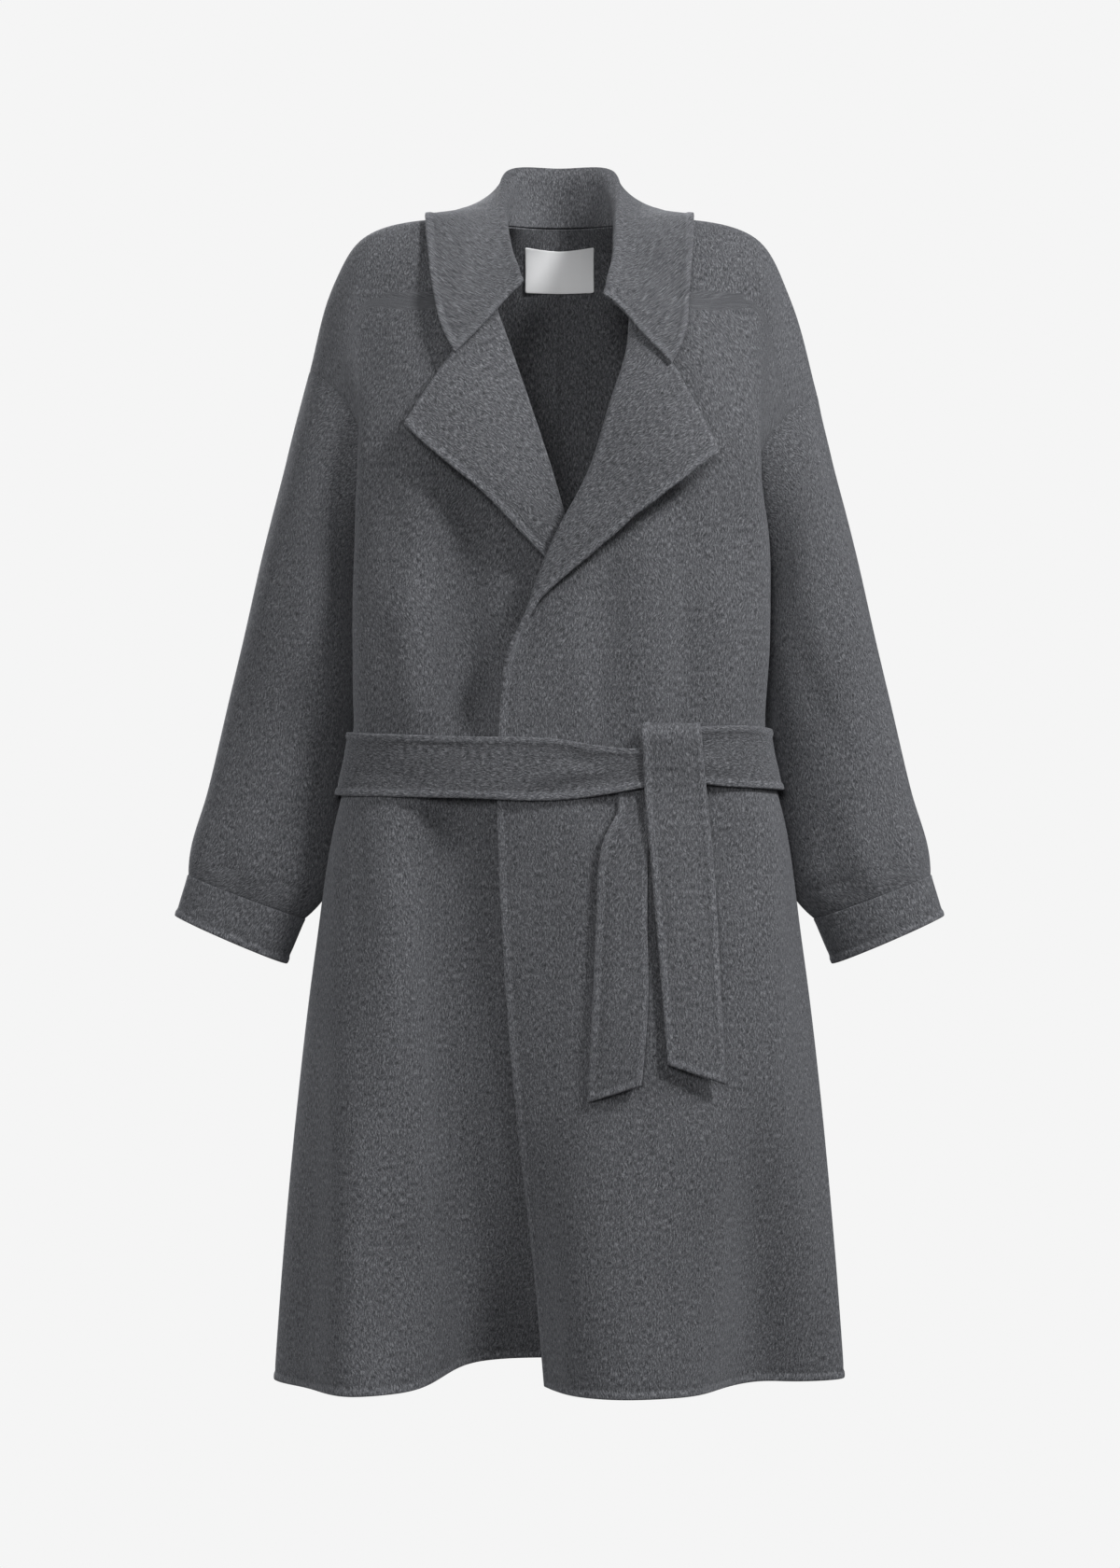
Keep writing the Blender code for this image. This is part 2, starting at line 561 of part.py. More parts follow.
def label_sheet(back):
    """The neck label, whose points are the back panel's own, read between its rows and columns and moved
    inside it, mirrored over the centre seam."""
    numbers = np.arange(len(back))
    low, high = np.interp((LABEL_BOTTOM, LABEL_TOP), back[-5:, 0, 2], numbers[-5:])
    label_rows = np.array([low, *numbers[(numbers > low) & (numbers < high)], high])
    widths = back[-3, :, 0]
    edge_column = np.interp(LABEL_HALF_WIDTH, widths, np.arange(len(widths)))
    label_columns = np.append(np.arange(np.ceil(edge_column)), edge_column)
    normals = unit(np.cross(np.gradient(back, axis=1), np.gradient(back, axis=0)))
    normals[:, 0] = unit(normals[:, 0] * (0, 1, 1))
    inside = back + normals * (WALL / 2 + LABEL_GAP + LABEL_WALL / 2)
    half = read_between(np.swapaxes(read_between(inside, label_rows), 0, 1), label_columns)
    half = np.swapaxes(half, 0, 1)
    return np.concatenate([half[:, ::-1], half[:, 1:] * (-1, 1, 1)], axis=1)


# -------------------------------------------------------------------------------------------- the pieces

for leftover in list(bpy.data.objects):
    bpy.data.objects.remove(leftover)
coat = bpy.data.collections.new("belted_coat")
bpy.context.scene.collection.children.link(coat)

rows = np.concatenate([ROWS_BELOW, ROWS_ARMHOLE])
armhole_start = len(ROWS_BELOW)
sleeve_rows = np.array([0, 0.5, 1, 1.5, 2, 3, 4, 5, 5.6, 6, 6.5, 7])
necks = {}
SIDES = (
    ("overlap", "right", 1, FRONT_OVERLAP, OVERLAP_ROLL, OVERLAP_LAPEL, OVERLAP_TURN, LONG_SHOULDER,
     OVERLAP_HEM_LIFT),
    ("underlap", "left", -1, FRONT_UNDERLAP, UNDERLAP_ROLL, UNDERLAP_LAPEL, UNDERLAP_TURN, (0, 0, 0),
     UNDERLAP_HEM_LIFT),
)
for lap, hand, side, levels_table, roll_table, lapel_table, turns, long_shoulder, hem_lift in SIDES:
    front, back = body_sheets(levels_table, roll_table, long_shoulder, hem_lift)
    armhole = np.concatenate([front[armhole_start:, -1], back[armhole_start:-1, -1][:0:-1]])
    sleeve = sleeve_sheet(armhole, sleeve_rows)
    upper = len(ROWS_ARMHOLE)
    neck_first = int(np.searchsorted(rows, LAPEL_TOP_ROW))
    neck_count = len(BACK_NECK_COLUMNS)
    necks[lap] = np.concatenate([front[neck_first:, 0], back[-1, :neck_count][::-1]])

    beyond_front = back[:, -2].copy()
    beyond_back = front[:, -2].copy()
    beyond_front[armhole_start:] = sleeve[1, :upper]
    beyond_back[armhole_start:] = np.concatenate([sleeve[1, :1], sleeve[1, upper:][::-1],
                                                  sleeve[1, upper - 1:upper]])
    inside_armhole = np.concatenate([front[armhole_start:, -2], back[armhole_start:-1, -2][:0:-1]])
    front_whole, back_whole = front.copy(), back.copy()
    ease = np.where(rows >= len(LEVELS) - 1, ARMHOLE_EASE, 0)[:, None]
    draw_back(front, "right", beyond_front, ease=ease)
    draw_back(back, "right", beyond_back, ease=ease)
    draw_back(front, "top", back_whole[-2, neck_count:])
    beyond_top = np.concatenate([back_whole[-1, :neck_count] + (0, 0, 0.01), front_whole[-2]])
    draw_back(back, "top", beyond_top)
    draw_back(back, "left", back[:, 1] * (-1, 1, 1))
    ease = np.full((len(armhole), 1), ARMHOLE_EASE)
    ease[0] = UNDERARM_EASE
    draw_back(sleeve, "bottom", inside_armhole, loop=True, ease=ease)
    around = np.linspace(0, 2 * np.pi, len(armhole), endpoint=False)
    cuff = np.array([ring(SLEEVE[-1], around), ring(CUFF_END, around)])
    cuff = cuff[0] + (cuff[1] - cuff[0]) * np.array([0, 0.5, 1])[:, None, None]
    above_cuff = sleeve[-2].copy()
    draw_back(sleeve, "top", cuff[1], CUFF_WALL, loop=True)
    draw_back(cuff, "bottom", above_cuff, CUFF_WALL, loop=True)

    front = add_lapel(front, lapel_table, turns, rows)
    sheet_object("front_" + lap, mirrored(front, side), WALL)
    sheet_object("back_" + hand, mirrored(back, side), WALL)
    sheet_object("sleeve_" + hand, mirrored(sleeve, side), WALL, closed=True)
    sheet_object("cuff_" + hand, mirrored(cuff, side), CUFF_WALL, closed=True)

across = np.array([0, 0.5, 1, 1.5, 2, 2.5, 3, 3.5, 4, 4.5, 5, 5.5, 6])
station_positions = np.arange(0, 7.01, 0.5)
neck_marks = (0, len(rows) - 1 - neck_first, len(rows) - 1 - neck_first + neck_count)
halves = []
for lap, side, stations in (("overlap", 1, COLLAR_OVERLAP), ("underlap", -1, COLLAR_UNDERLAP)):
    half = collar_half(stations, necks[lap], neck_marks, station_positions)
    half = np.swapaxes(curve_through(half, across), 0, 1)
    halves.append(mirrored(half, side))
collar = np.concatenate([halves[0], halves[1][-2::-1]])
sheet_object("collar", collar, WALL)

sheet_object("belt", belt_sheet(84, 4), BELT_WALL, closed=True)
sheet_object("belt_tail_front", tail_sheet(FRONT_TAIL, FRONT_TAIL_SLANT, 15, 4), BELT_WALL)
sheet_object("belt_tail_back", tail_sheet(BACK_TAIL, BACK_TAIL_SLANT, 13, 4), BELT_WALL)
sheet_object("label", label_sheet(back_whole), LABEL_WALL, LABEL_WHITE)
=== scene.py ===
"""A long belted coat in brushed wool, filled out and hollow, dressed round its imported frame.

Metres. +X is to the viewer's right, the coat's front faces -Y and +Z is up. The tables are in
millimetres: in them "out" is the distance from the coat's middle towards the piece's own side, "depth"
is Y and "height" is Z.
"""

import bpy
import numpy as np
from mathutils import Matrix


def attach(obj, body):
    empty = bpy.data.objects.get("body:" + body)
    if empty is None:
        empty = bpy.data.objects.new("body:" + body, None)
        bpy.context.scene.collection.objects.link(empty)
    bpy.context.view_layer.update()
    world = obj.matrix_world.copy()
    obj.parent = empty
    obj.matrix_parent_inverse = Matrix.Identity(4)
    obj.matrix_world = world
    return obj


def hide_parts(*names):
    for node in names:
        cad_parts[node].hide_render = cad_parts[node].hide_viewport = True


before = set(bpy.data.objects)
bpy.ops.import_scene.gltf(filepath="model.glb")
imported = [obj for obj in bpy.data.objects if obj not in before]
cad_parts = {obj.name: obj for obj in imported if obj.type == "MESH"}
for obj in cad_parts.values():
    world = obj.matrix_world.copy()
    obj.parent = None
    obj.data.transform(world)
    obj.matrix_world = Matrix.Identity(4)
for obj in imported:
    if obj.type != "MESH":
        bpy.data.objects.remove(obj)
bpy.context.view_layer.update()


# ------------------------------------------------------------------------------- the fronts and backs
# Four panels of double-faced wool, seamed at the sides, the shoulders and the centre back. Each front
# goes on past its roll line and turns over as the lapel, so the lapel's face is the cloth's other face.
# Free edges are turned in and felled by hand, which leaves them thick, with a faint channel behind.

MM = 0.001
WALL = 2.6 * MM
# Seams close by half a millimetre more than they meet, since the rims are rounded. A drawn-back edge has
# at least this share of its neighbours' distance, and at most this share of its first step.
SEAM_GAP = -0.5 * MM
NEAR_SHARE = 0.75
LONGEST_SHARE = 0.6
SEAM_FADE = 25 * MM
ROLL_RADIUS = 4.5 * MM
TURN_LENGTH = np.pi * ROLL_RADIUS
EDGE_WIDTH = 7 * MM
LAPEL_BILLOW = 0.05

# Lines of the body below the armholes, a row for each level section from the hem up, as (out, depth).
LEVELS = (-1174, -1050, -900, -740, -620, -553, -490, -440, -390, -330)
FRONT_OVERLAP = (
    # roll        chest        crest         fold          tuck
    ((-2, -75), (62, -143), (120, -128), (187, -40), (238, -26)),
    ((-12, -84), (68, -142), (135, -120), (205, -62), (250, -38)),
    ((-24, -100), (75, -136), (150, -126), (222, -76), (252, -38)),
    ((-35, -110), (72, -128), (160, -106), (220, -66), (238, -30)),
    ((-40, -117), (70, -126), (158, -92), (213, -58), (227, -28)),
    ((-40, -120), (60, -121), (140, -102), (198, -60), (212, -27)),
    ((-37, -124), (60, -127), (138, -112), (205, -58), (202, -25)),
    ((-33, -127), (62, -130), (142, -115), (209, -60), (195, -26)),
    ((-22, -129), (66, -131), (145, -116), (210, -60), (190, -26)),
    ((0, -131), (72, -130), (148, -115), (209, -61), (186, -28)),
)
FRONT_UNDERLAP = (
    ((0, -16), (85, -22), (150, -104), (207, -124), (250, -68)),
    ((-10, -58), (80, -52), (148, -100), (205, -116), (245, -64)),
    ((-20, -82), (78, -77), (145, -108), (204, -106), (240, -58)),
    ((-30, -98), (88, -86), (152, -108), (208, -86), (234, -44)),
    ((-35, -108), (92, -92), (156, -98), (208, -68), (226, -32)),
    ((-35, -112), (70, -110), (142, -99), (198, -60), (212, -27)),
    ((-35, -112), (75, -98), (146, -111), (205, -58), (202, -25)),
    ((-30, -107), (78, -96), (150, -114), (206, -60), (195, -26)),
    ((-19, -104), (78, -97), (150, -115), (206, -60), (190, -26)),
    ((-7, -109), (78, -102), (150, -114), (204, -62), (185, -29)),
)
SIDE_SEAM = (
    (288, 2), (279, 0), (265, 0), (246, 0), (226, 4), (205, 4), (188, 6), (179, 6), (172, 6), (169, 5),
)
BACK = (
    # centre    neck       blade      crest       fold       tuck
    ((0, 118), (50, 128), (95, 140), (150, 132), (205, 100), (255, 52)),
    ((0, 116), (50, 122), (95, 130), (148, 124), (198, 96), (245, 50)),
    ((0, 114), (52, 118), (96, 123), (145, 116), (190, 92), (233, 48)),
    ((0, 111), (52, 114), (96, 116), (142, 106), (182, 82), (222, 44)),
    ((0, 107), (52, 109), (96, 108), (140, 97), (173, 76), (202, 44)),
    ((0, 103), (52, 103), (96, 101), (136, 90), (165, 70), (188, 42)),
    ((0, 108), (52, 108), (97, 106), (140, 94), (172, 74), (187, 46)),
    ((0, 112), (52, 112), (98, 110), (142, 98), (176, 76), (186, 48)),
    ((0, 115), (53, 115), (98, 113), (144, 100), (179, 78), (185, 49)),
    ((0, 117), (54, 117), (99, 115), (146, 102), (181, 80), (184, 50)),
)
# The underlap's hem is drawn up where it hangs behind the overlap.
OVERLAP_HEM_LIFT = (0, 0, 0, 0, 0, 0)
UNDERLAP_HEM_LIFT = (24, 20, 2, 0, 0, 0)
BACK_HEM_LIFT = 5

# Lines from the armholes to the shoulder seam, as (out, depth, height).
FRONT_YOKE = (
    # chest               crest               fold                tuck                 armhole
    ((88, -108, -268), (148, -115, -272), (202, -74, -280), (189, -56, -286), (183, -38, -291)),
    ((95, -110, -202), (146, -112, -210), (199, -80, -225), (195, -71, -238), (192, -61, -247)),
    ((102, -100, -142), (143, -98, -148), (198, -72, -165), (201, -73, -190), (201, -67, -211)),
    ((108, -80, -97), (140, -74, -98), (199, -52, -100), (211, -60, -142), (219, -56, -182)),
    ((102, -40, -34), (137, -44, -31), (201, -34, -48), (222, -36, -94), (238, -38, -163)),
)
BACK_YOKE = (
    # centre, neck, blade, crest, fold, tuck, armhole
    ((0, 117, -270), (54, 117, -270), (100, 115, -272), (147, 103, -275), (184, 82, -281), (189, 66, -287),
     (183, 42, -291)),
    ((0, 115, -200), (55, 114, -201), (101, 112, -205), (148, 101, -212), (183, 86, -226), (194, 76, -238),
     (192, 62, -247)),
    ((0, 108, -130), (56, 106, -132), (102, 103, -138), (148, 94, -148), (184, 82, -168), (200, 78, -192),
     (201, 68, -211)),
    ((0, 97, -72), (57, 94, -74), (104, 90, -80), (146, 82, -88), (186, 70, -110), (208, 64, -148),
     (220, 58, -182)),
    ((0, 86, -26), (58, 62, -22), (102, 54, -26), (140, 48, -32), (196, 38, -52), (219, 38, -98),
     (238, 36, -163)),
)
SHOULDER_SEAM = ((62, 22, -2), (98, 8, 0), (134, -3, 0), (202, -8, -22), (228, -7, -66), (252, -6, -153))
BACK_NECK = (0, 75, 2)
# The overlap's shoulder is a little longer, so its armhole sits lower.
LONG_SHOULDER = (8, 0, -24)
LONG_SHOULDER_SHARE = (0.2, 0.4, 0.7, 0.9, 1.0, 1.0)

# Roll lines above the armholes' foot, the lapels' free edges, and how far each has turned, in degrees.
OVERLAP_ROLL = ((31, -131, -265), (52, -123, -200), (71, -104, -140), (74, -84, -100), (70, -36, -50))
OVERLAP_LAPEL = ((30, -152, -348), (72, -160, -310), (107, -163, -284), (135, -160, -262), (157, -150, -246))
UNDERLAP_ROLL = ((11, -114, -265), (33, -112, -200), (54, -99, -140), (68, -80, -98), (68, -34, -49))
UNDERLAP_LAPEL = ((12, -123, -350), (72, -138, -288), (102, -142, -263), (130, -142, -240), (153, -134, -217))
OVERLAP_TURN = (0, 0, 0, 0, 0, 0, 0, 60, 145, 178, 180, 180, 180, 180)
UNDERLAP_TURN = (0, 0, 0, 0, 0, 0, 0, 20, 95, 175, 180, 180, 180, 180)

# The sleeves' rings from below the armhole to the cuff's seam, which the armholes' edges lean towards.
SLEEVE = (
    # outer (out, height), inner (out, height), half depth, middle depth, bow towards the body
    (266, -202, 201, -374, 62, 9, 8),
    (289, -296, 204, -434, 64, 14, 2),
    (313, -391, 208, -494, 62, 22, 0),
    (337, -486, 216, -560, 57, 33, 0),
    (359, -580, 227, -632, 53, 34, 0),
    (377, -646, 239, -684, 47, 30, 0),
    (378, -664, 261, -708, 39, 27, 0),
)
CUFF_END = (391, -706, 280, -754, 37, 25)

# Creases in the fronts: a line from start to end, seen from the front, bowed sideways, with the width
# and the height of the ridge. A trough's height is below zero.
OVERLAP_CREASES = (
    # start out, height, end out, height, bow, width, ridge
    (58, -290, 46, -590, 8, 18, -9.0),
    (126, -300, 114, -590, -7, 17, -9.5),
    (100, -340, 92, -540, 4, 18, 3.0),
    (172, -380, 158, -540, -5, 14, 3.0),
    (24, -400, 34, -540, 5, 14, 2.4),
    (188, -380, 190, -540, 4, 10, -3.0),
    (142, -530, 164, -930, 8, 24, -11.0),
    (206, -570, 226, -1000, 5, 18, 5.0),
    (182, -860, 222, -1250, 6, 28, -11.0),
    (24, -860, 20, -1300, 0, 28, 10.0),
    (60, -570, 56, -800, 5, 18, -3.6),
    (24, -570, 28, -760, 3, 12, 2.4),
    (96, -570, 100, -860, 8, 18, 4.0),
    (196, -250, 150, -400, 12, 18, -4.0),
    (206, -80, 150, -190, -12, 22, -2.6),
)
UNDERLAP_CREASES = (
    (96, -300, 96, -620, 4, 26, -17.0),
    (54, -320, 50, -600, 2, 16, 6.0),
    (40, -420, 44, -540, 3, 12, 2.6),
    (140, -320, 148, -540, -6, 18, 3.6),
    (176, -400, 170, -540, 4, 12, -3.0),
    (118, -500, 84, -1150, -8, 30, -18.0),
    (62, -540, 36, -1060, -6, 20, 7.0),
    (176, -560, 168, -900, 8, 20, 5.0),
    (206, -570, 214, -840, 5, 14, -4.0),
    (170, -1000, 176, -1168, 4, 26, -3.0),
    (196, -250, 150, -400, 12, 18, -4.0),
    (206, -80, 150, -190, -12, 22, -2.6),
)
RIGHT_BACK_CREASES = (
    (30, -300, 36, -560, 6, 18, -6.0),
    (70, -340, 64, -560, 5, 15, 3.0),
    (108, -290, 98, -560, -6, 18, -5.0),
    (146, -380, 138, -560, 5, 14, 3.0),
    (44, -570, 60, -900, 6, 20, -6.5),
    (92, -570, 104, -820, 6, 16, 3.6),
    (132, -570, 164, -980, 7, 22, -7.0),
    (176, -570, 200, -840, 5, 16, 3.6),
    (196, -250, 140, -420, 14, 20, -5.0),
    (190, -90, 110, -190, -14, 24, -4.0),
)
LEFT_BACK_CREASES = (
    (44, -320, 40, -560, -5, 17, -5.0),
    (84, -300, 80, -560, 6, 18, 3.4),
    (122, -340, 112, -560, -6, 17, -6.0),
    (60, -570, 82, -1000, 8, 22, -7.0),
    (110, -570, 118, -800, 5, 15, 3.0),
    (152, -570, 172, -880, 6, 20, -5.5),
    (188, -570, 214, -900, 5, 16, 4.0),
    (196, -250, 156, -440, 14, 20, -5.0),
    (196, -100, 120, -170, -12, 22, -3.6),
    (60, -110, 110, -230, 10, 24, -3.0),
)

# Distances from a free edge at which rows or columns lie, and how thick the felled edge is there.
EDGE_STEPS = np.array([0, 2.2, 4.4, 6.4, 8.4, 11.5, 17]) * MM
# Through the wool's colour this profile also paints a highlight on the edge's roll and shade in the channel
# behind it.
EDGE_PROFILE_AT = np.array([0, 4, 6.4, 8.4, 11.5, 17]) * MM
EDGE_PROFILE = (1.4, 1.7, 1.45, 0.62, 0.88, 1.0)


def curve_through(points, positions):
    """A smooth curve through the points, read at fractional indices: cubic, with each point's tangent
    weighed between the chords on its two sides."""
    points = np.asarray(points, float)
    steps = np.diff(points, axis=0)
    lengths = np.maximum(np.linalg.norm(steps, axis=-1, keepdims=True), 1e-9)
    slopes = steps / lengths
    inner = (slopes[:-1] * lengths[1:] + slopes[1:] * lengths[:-1]) / (lengths[:-1] + lengths[1:])
    first = 1.5 * slopes[:1] - 0.5 * inner[:1]
    last = 1.5 * slopes[-1:] - 0.5 * inner[-1:]
    tangents = np.concatenate([first, inner, last])
    positions = np.asarray(positions, float)
    index = np.clip(np.floor(positions).astype(int), 0, len(points) - 2)
    part = (positions - index).reshape((-1,) + (1,) * (points.ndim - 1))
    span = lengths[index]
    start_weight = 2 * part**3 - 3 * part**2 + 1
    start_pull = part**3 - 2 * part**2 + part
    end_pull = part**3 - part**2
    return (start_weight * points[index] + (1 - start_weight) * points[index + 1]
            + span * (start_pull * tangents[index] + end_pull * tangents[index + 1]))


def unit(vectors):
    """The vectors at length one."""
    return vectors / np.maximum(np.linalg.norm(vectors, axis=-1, keepdims=True), 1e-12)


def lengthen_shoulder(lines, long_shoulder):
    """Move the armhole line, and the tuck beside it half as much, by the longer shoulder."""
    share = np.array(LONG_SHOULDER_SHARE)[:, None] * np.array(long_shoulder, float)
    lines[-6:, -1] += share
    lines[-6:, -2] += share / 2
    return lines * MM


def level_rows(levels_table):
    """The level sections as points: each section's pairs, then the side seam, at its height."""
    return [[*((out, depth, height) for out, depth in pairs), (*seam, height)]
            for height, pairs, seam in zip(LEVELS, levels_table, SIDE_SEAM)]


def front_lines(levels_table, roll_table, long_shoulder, hem_lift):
    """Lines of one front from hem to shoulder: roll, chest, crest, fold, tuck, side seam with armhole."""
    lines = level_rows(levels_table)
    lines[0] = [(out, depth, height + lift) for (out, depth, height), lift in zip(lines[0], hem_lift)]
    lines += [[roll, *yoke] for roll, yoke in zip(roll_table, FRONT_YOKE)]
    return lengthen_shoulder(np.array([*lines, SHOULDER_SEAM], float), long_shoulder)


def back_lines(long_shoulder):
    """Lines of one half of the back from hem to shoulder: centre, neck, blade, crest, fold, tuck, side
    seam with armhole."""
    lines = level_rows(BACK)
    lines[0] = [(out, depth, height + BACK_HEM_LIFT) for out, depth, height in lines[0][:-1]] + lines[0][-1:]
    lines += [list(row) for row in BACK_YOKE]
    return lengthen_shoulder(np.array([*lines, [BACK_NECK, *SHOULDER_SEAM]], float), long_shoulder)


def loft(lines, rows, columns, above, beside):
    """A sheet through the lines, whose tangents run on to the row "above" its last and the line "beside"
    its last. The last line turns a corner at the armhole's foot."""
    down = curve_through(np.concatenate([lines, above[None]]), rows)
    corner = len(LEVELS) - 1
    up_side = rows <= corner
    down[up_side, -1] = curve_through(lines[:corner + 1, -1], rows[up_side])
    armhole = np.concatenate([lines[corner:, -1], above[None, -1]])
    down[~up_side, -1] = curve_through(armhole, rows[~up_side] - corner)
    beside_down = curve_through(beside, rows)
    across = np.concatenate([down, beside_down[:, None]], axis=1)
    return np.swapaxes(curve_through(np.swapaxes(across, 0, 1), columns), 0, 1)


def body_sheets(levels_table, roll_table, long_shoulder, hem_lift):
    """Front and back of one side, before their lapel and with edges that meet exactly."""
    front = front_lines(levels_table, roll_table, long_shoulder, hem_lift)
    back = back_lines(long_shoulder)
    seam = len(LEVELS)
    past_front = back[:, -2].copy()
    past_back = front[:, -2].copy()
    past_front[seam:] = 2 * front[seam:, -1] - front[seam:, -2]
    past_back[seam:] = 2 * back[seam:, -1] - back[seam:, -2]
    front_sheet = loft(front, rows, FRONT_COLUMNS, back[-2, 1:], past_front)
    above_back = np.concatenate([back[-1:, 0] + (0, -0.02, 0.03), front[-2]])
    above_back = np.concatenate([above_back[1:2] * (-1, 1, 1), above_back])
    back = np.concatenate([back[:, 1:2] * (-1, 1, 1), back], axis=1)
    columns = np.concatenate([BACK_NECK_COLUMNS, FRONT_COLUMNS + 1]) + 1
    back_sheet = loft(back, rows, columns, above_back, past_back)
    back_sheet[-1, len(BACK_NECK_COLUMNS):] = front_sheet[-1]
    return front_sheet, back_sheet


def add_lapel(sheet, lapel_rows, turns):
    """The front's cloth past its roll line, as extra columns before the sheet's own: an arc of the roll's
    radius swept through the turn, then straight to the free edge with a slight billow."""
    last = int(np.searchsorted(rows, LAPEL_TOP_ROW)) + 1
    turn = np.radians(np.interp(rows[:last], np.arange(len(turns)), turns))[:, None]
    roll = sheet[:last, 0]
    along = unit(np.gradient(sheet[:, 0], axis=0)[:last])
    inward = sheet[:last, 1] - roll
    inward = unit(inward - along * np.sum(inward * along, axis=1, keepdims=True))
    outward = np.cross(along, inward)
    outward *= -np.sign(outward[:, 1:2])
    step = np.arange(1, TURN_COLUMNS + 1)[:, None, None] / TURN_COLUMNS
    swept = np.maximum(turn * step, 1e-4)
    radius = TURN_LENGTH * step / swept
    turned = roll - inward * radius * np.sin(swept) + outward * radius * (1 - np.cos(swept))
    foot = turned[-1]
    reach = (outward * np.sin(turn) - inward * np.cos(turn)) * EDGE_WIDTH
    start = LAPEL_TOP_ROW - len(lapel_rows)
    known = np.searchsorted(rows, np.arange(start, LAPEL_TOP_ROW + 1))
    given = np.array(lapel_rows, float) * MM - foot[known[1:]]
    upper = rows[:last] > start
    reach[upper] = curve_through(np.concatenate([reach[known[:1]], given]), rows[:last][upper] - start)
    width = np.linalg.norm(reach, axis=1, keepdims=True)
    near_edge = EDGE_STEPS[:, None, None] * np.minimum(1, 0.8 * width / EDGE_STEPS[-1])
    inner_share = np.linspace(0, 1, FLAT_COLUMNS + 1)[1:-1, None, None]
    share = 1 - near_edge / width
    share = np.concatenate([share[-1:] * inner_share, share[::-1]])
    billow = LAPEL_BILLOW * width * np.sin(turn / 2) ** 4 * np.sin(np.pi * share)
    flat = foot + reach * share + outward * billow
    columns = np.concatenate([turned, flat])[::-1]
    lapel = np.full((len(sheet), len(columns), 3), np.nan)
    lapel[:last] = np.swapaxes(columns, 0, 1)
    return np.concatenate([lapel, sheet], axis=1)


def draw_back(grid, edge, beyond=None, wall=WALL, loop=False):
    """Shorten a sheet at one edge, by half a seam's gap and by what its thickness needs where the
    neighbour's cloth leaves at an angle. "beyond" holds the neighbour's first points past the edge."""
    first, second = {
        "left": (np.s_[:, 0], np.s_[:, 1]),
        "right": (np.s_[:, -1], np.s_[:, -2]),
        "bottom": (np.s_[0], np.s_[1]),
        "top": (np.s_[-1], np.s_[-2]),
    }[edge]
    line = grid[first]
    along = np.roll(line, -1, axis=0) - np.roll(line, 1, axis=0) if loop else np.gradient(line, axis=0)
    along = unit(along)
    inward = unit(grid[second] - line)
    level = inward - along * np.sum(inward * along, axis=-1, keepdims=True)
    slant = np.maximum(np.linalg.norm(level, axis=-1, keepdims=True), 0.3)
    distance = np.full(slant.shape, SEAM_GAP / 2)
    if beyond is not None:
        onward = beyond - line
        onward = unit(onward - along * np.sum(onward * along, axis=-1, keepdims=True))
        cosine = np.clip(-np.sum(unit(level) * onward, axis=-1, keepdims=True), -0.9, 1)
        distance += wall / 2 * np.sqrt((1 - cosine) / (1 + cosine))
        beside = np.pad(distance, ((1, 1), (0, 0)), mode="wrap" if loop else "edge")
        distance = np.maximum(distance, NEAR_SHARE * np.maximum(beside[:-2], beside[2:]))
    limit = LONGEST_SHARE * np.linalg.norm(grid[second] - line, axis=-1, keepdims=True)
    grid[first] = line + inward * np.minimum(distance / slant, limit)


def arc_lengths(grid, axis):
    """How far each point of a grid lies along its rows or columns, in metres, from the first that is a
    number."""
    steps = np.nan_to_num(np.linalg.norm(np.diff(grid, axis=axis), axis=-1))
    pad = [(0, 0), (0, 0)]
    pad[axis] = (1, 0)
    return np.pad(np.cumsum(steps, axis=axis), pad)


def from_last(grid, axis):
    """How far each point lies from the last along its rows or columns, in metres."""
    return np.flip(arc_lengths(np.flip(grid, axis), axis), axis)


def from_both(grid, axis):
    """How far each point lies from the nearer end of its row or column, in metres."""
    return np.minimum(arc_lengths(grid, axis), from_last(grid, axis))


def face_normals(grid, closed=False):
    """Unit normals of a grid: the cross product of its steps along columns and rows."""
    across = np.gradient(grid, axis=1)
    if closed:
        across = (np.roll(grid, -1, axis=1) - np.roll(grid, 1, axis=1)) / 2
    return unit(np.cross(across, np.gradient(grid, axis=0)))


def crease_heights(points, table):
    """How far the cloth stands out at each point for a table of creases: for each, a bell across its
    bowed line that fades to nothing at both ends."""
    table = np.array(table, float)[:, None, None] * np.array([MM] * 7)
    start = table[..., 0:2]
    run = table[..., 2:4] - start
    length = np.linalg.norm(run, axis=-1)
    offset = points[None, ..., (0, 2)] - start
    along = np.sum(offset * run, axis=-1) / length**2
    inside = np.clip(4 * along * (1 - along), 0, 1)
    across = (offset[..., 0] * run[..., 1] - offset[..., 1] * run[..., 0]) / length
    across -= table[..., 4] * inside
    bell = np.exp(-(across / table[..., 5]) ** 2)
    return np.sum(table[..., 6] * bell * inside, axis=0)


def edge_thickness(distances):
    """How thick the cloth is for each distance from a free edge, against its plain thickness."""
    return np.interp(distances, EDGE_PROFILE_AT, EDGE_PROFILE)


def seam_thickness(distances):
    """How far a seam draws the cloth in for each distance from it, against its plain thickness. The
    thinner cloth is also drawn darker, painted shade along the seam.
    """
    return np.interp(distances, (0, 2 * MM, 5 * MM), (0.7, 0.82, 1.0))


def ring(row, around):
    """An oval ring of a sleeve from its outer and inner points. "around" runs from the inner point
    forward and up to the outer point, then back behind, in radians."""
    outer_out, outer_height, inner_out, inner_height, half_depth, middle_depth = row[:6]
    bow = row[6] if len(row) > 6 else 0
    middle = np.array([(outer_out + inner_out) / 2, middle_depth, (outer_height + inner_height) / 2])
    half = np.array([(inner_out - outer_out) / 2, 0, (inner_height - outer_height) / 2])
    towards_body = unit(np.array([half[2], 0, -half[0]])) * -1
    cosine = np.cos(around)[:, None]
    sine = np.sin(around)[:, None]
    return (middle + half * cosine - np.array([0, half_depth, 0]) * sine + towards_body * bow * sine**2) * MM


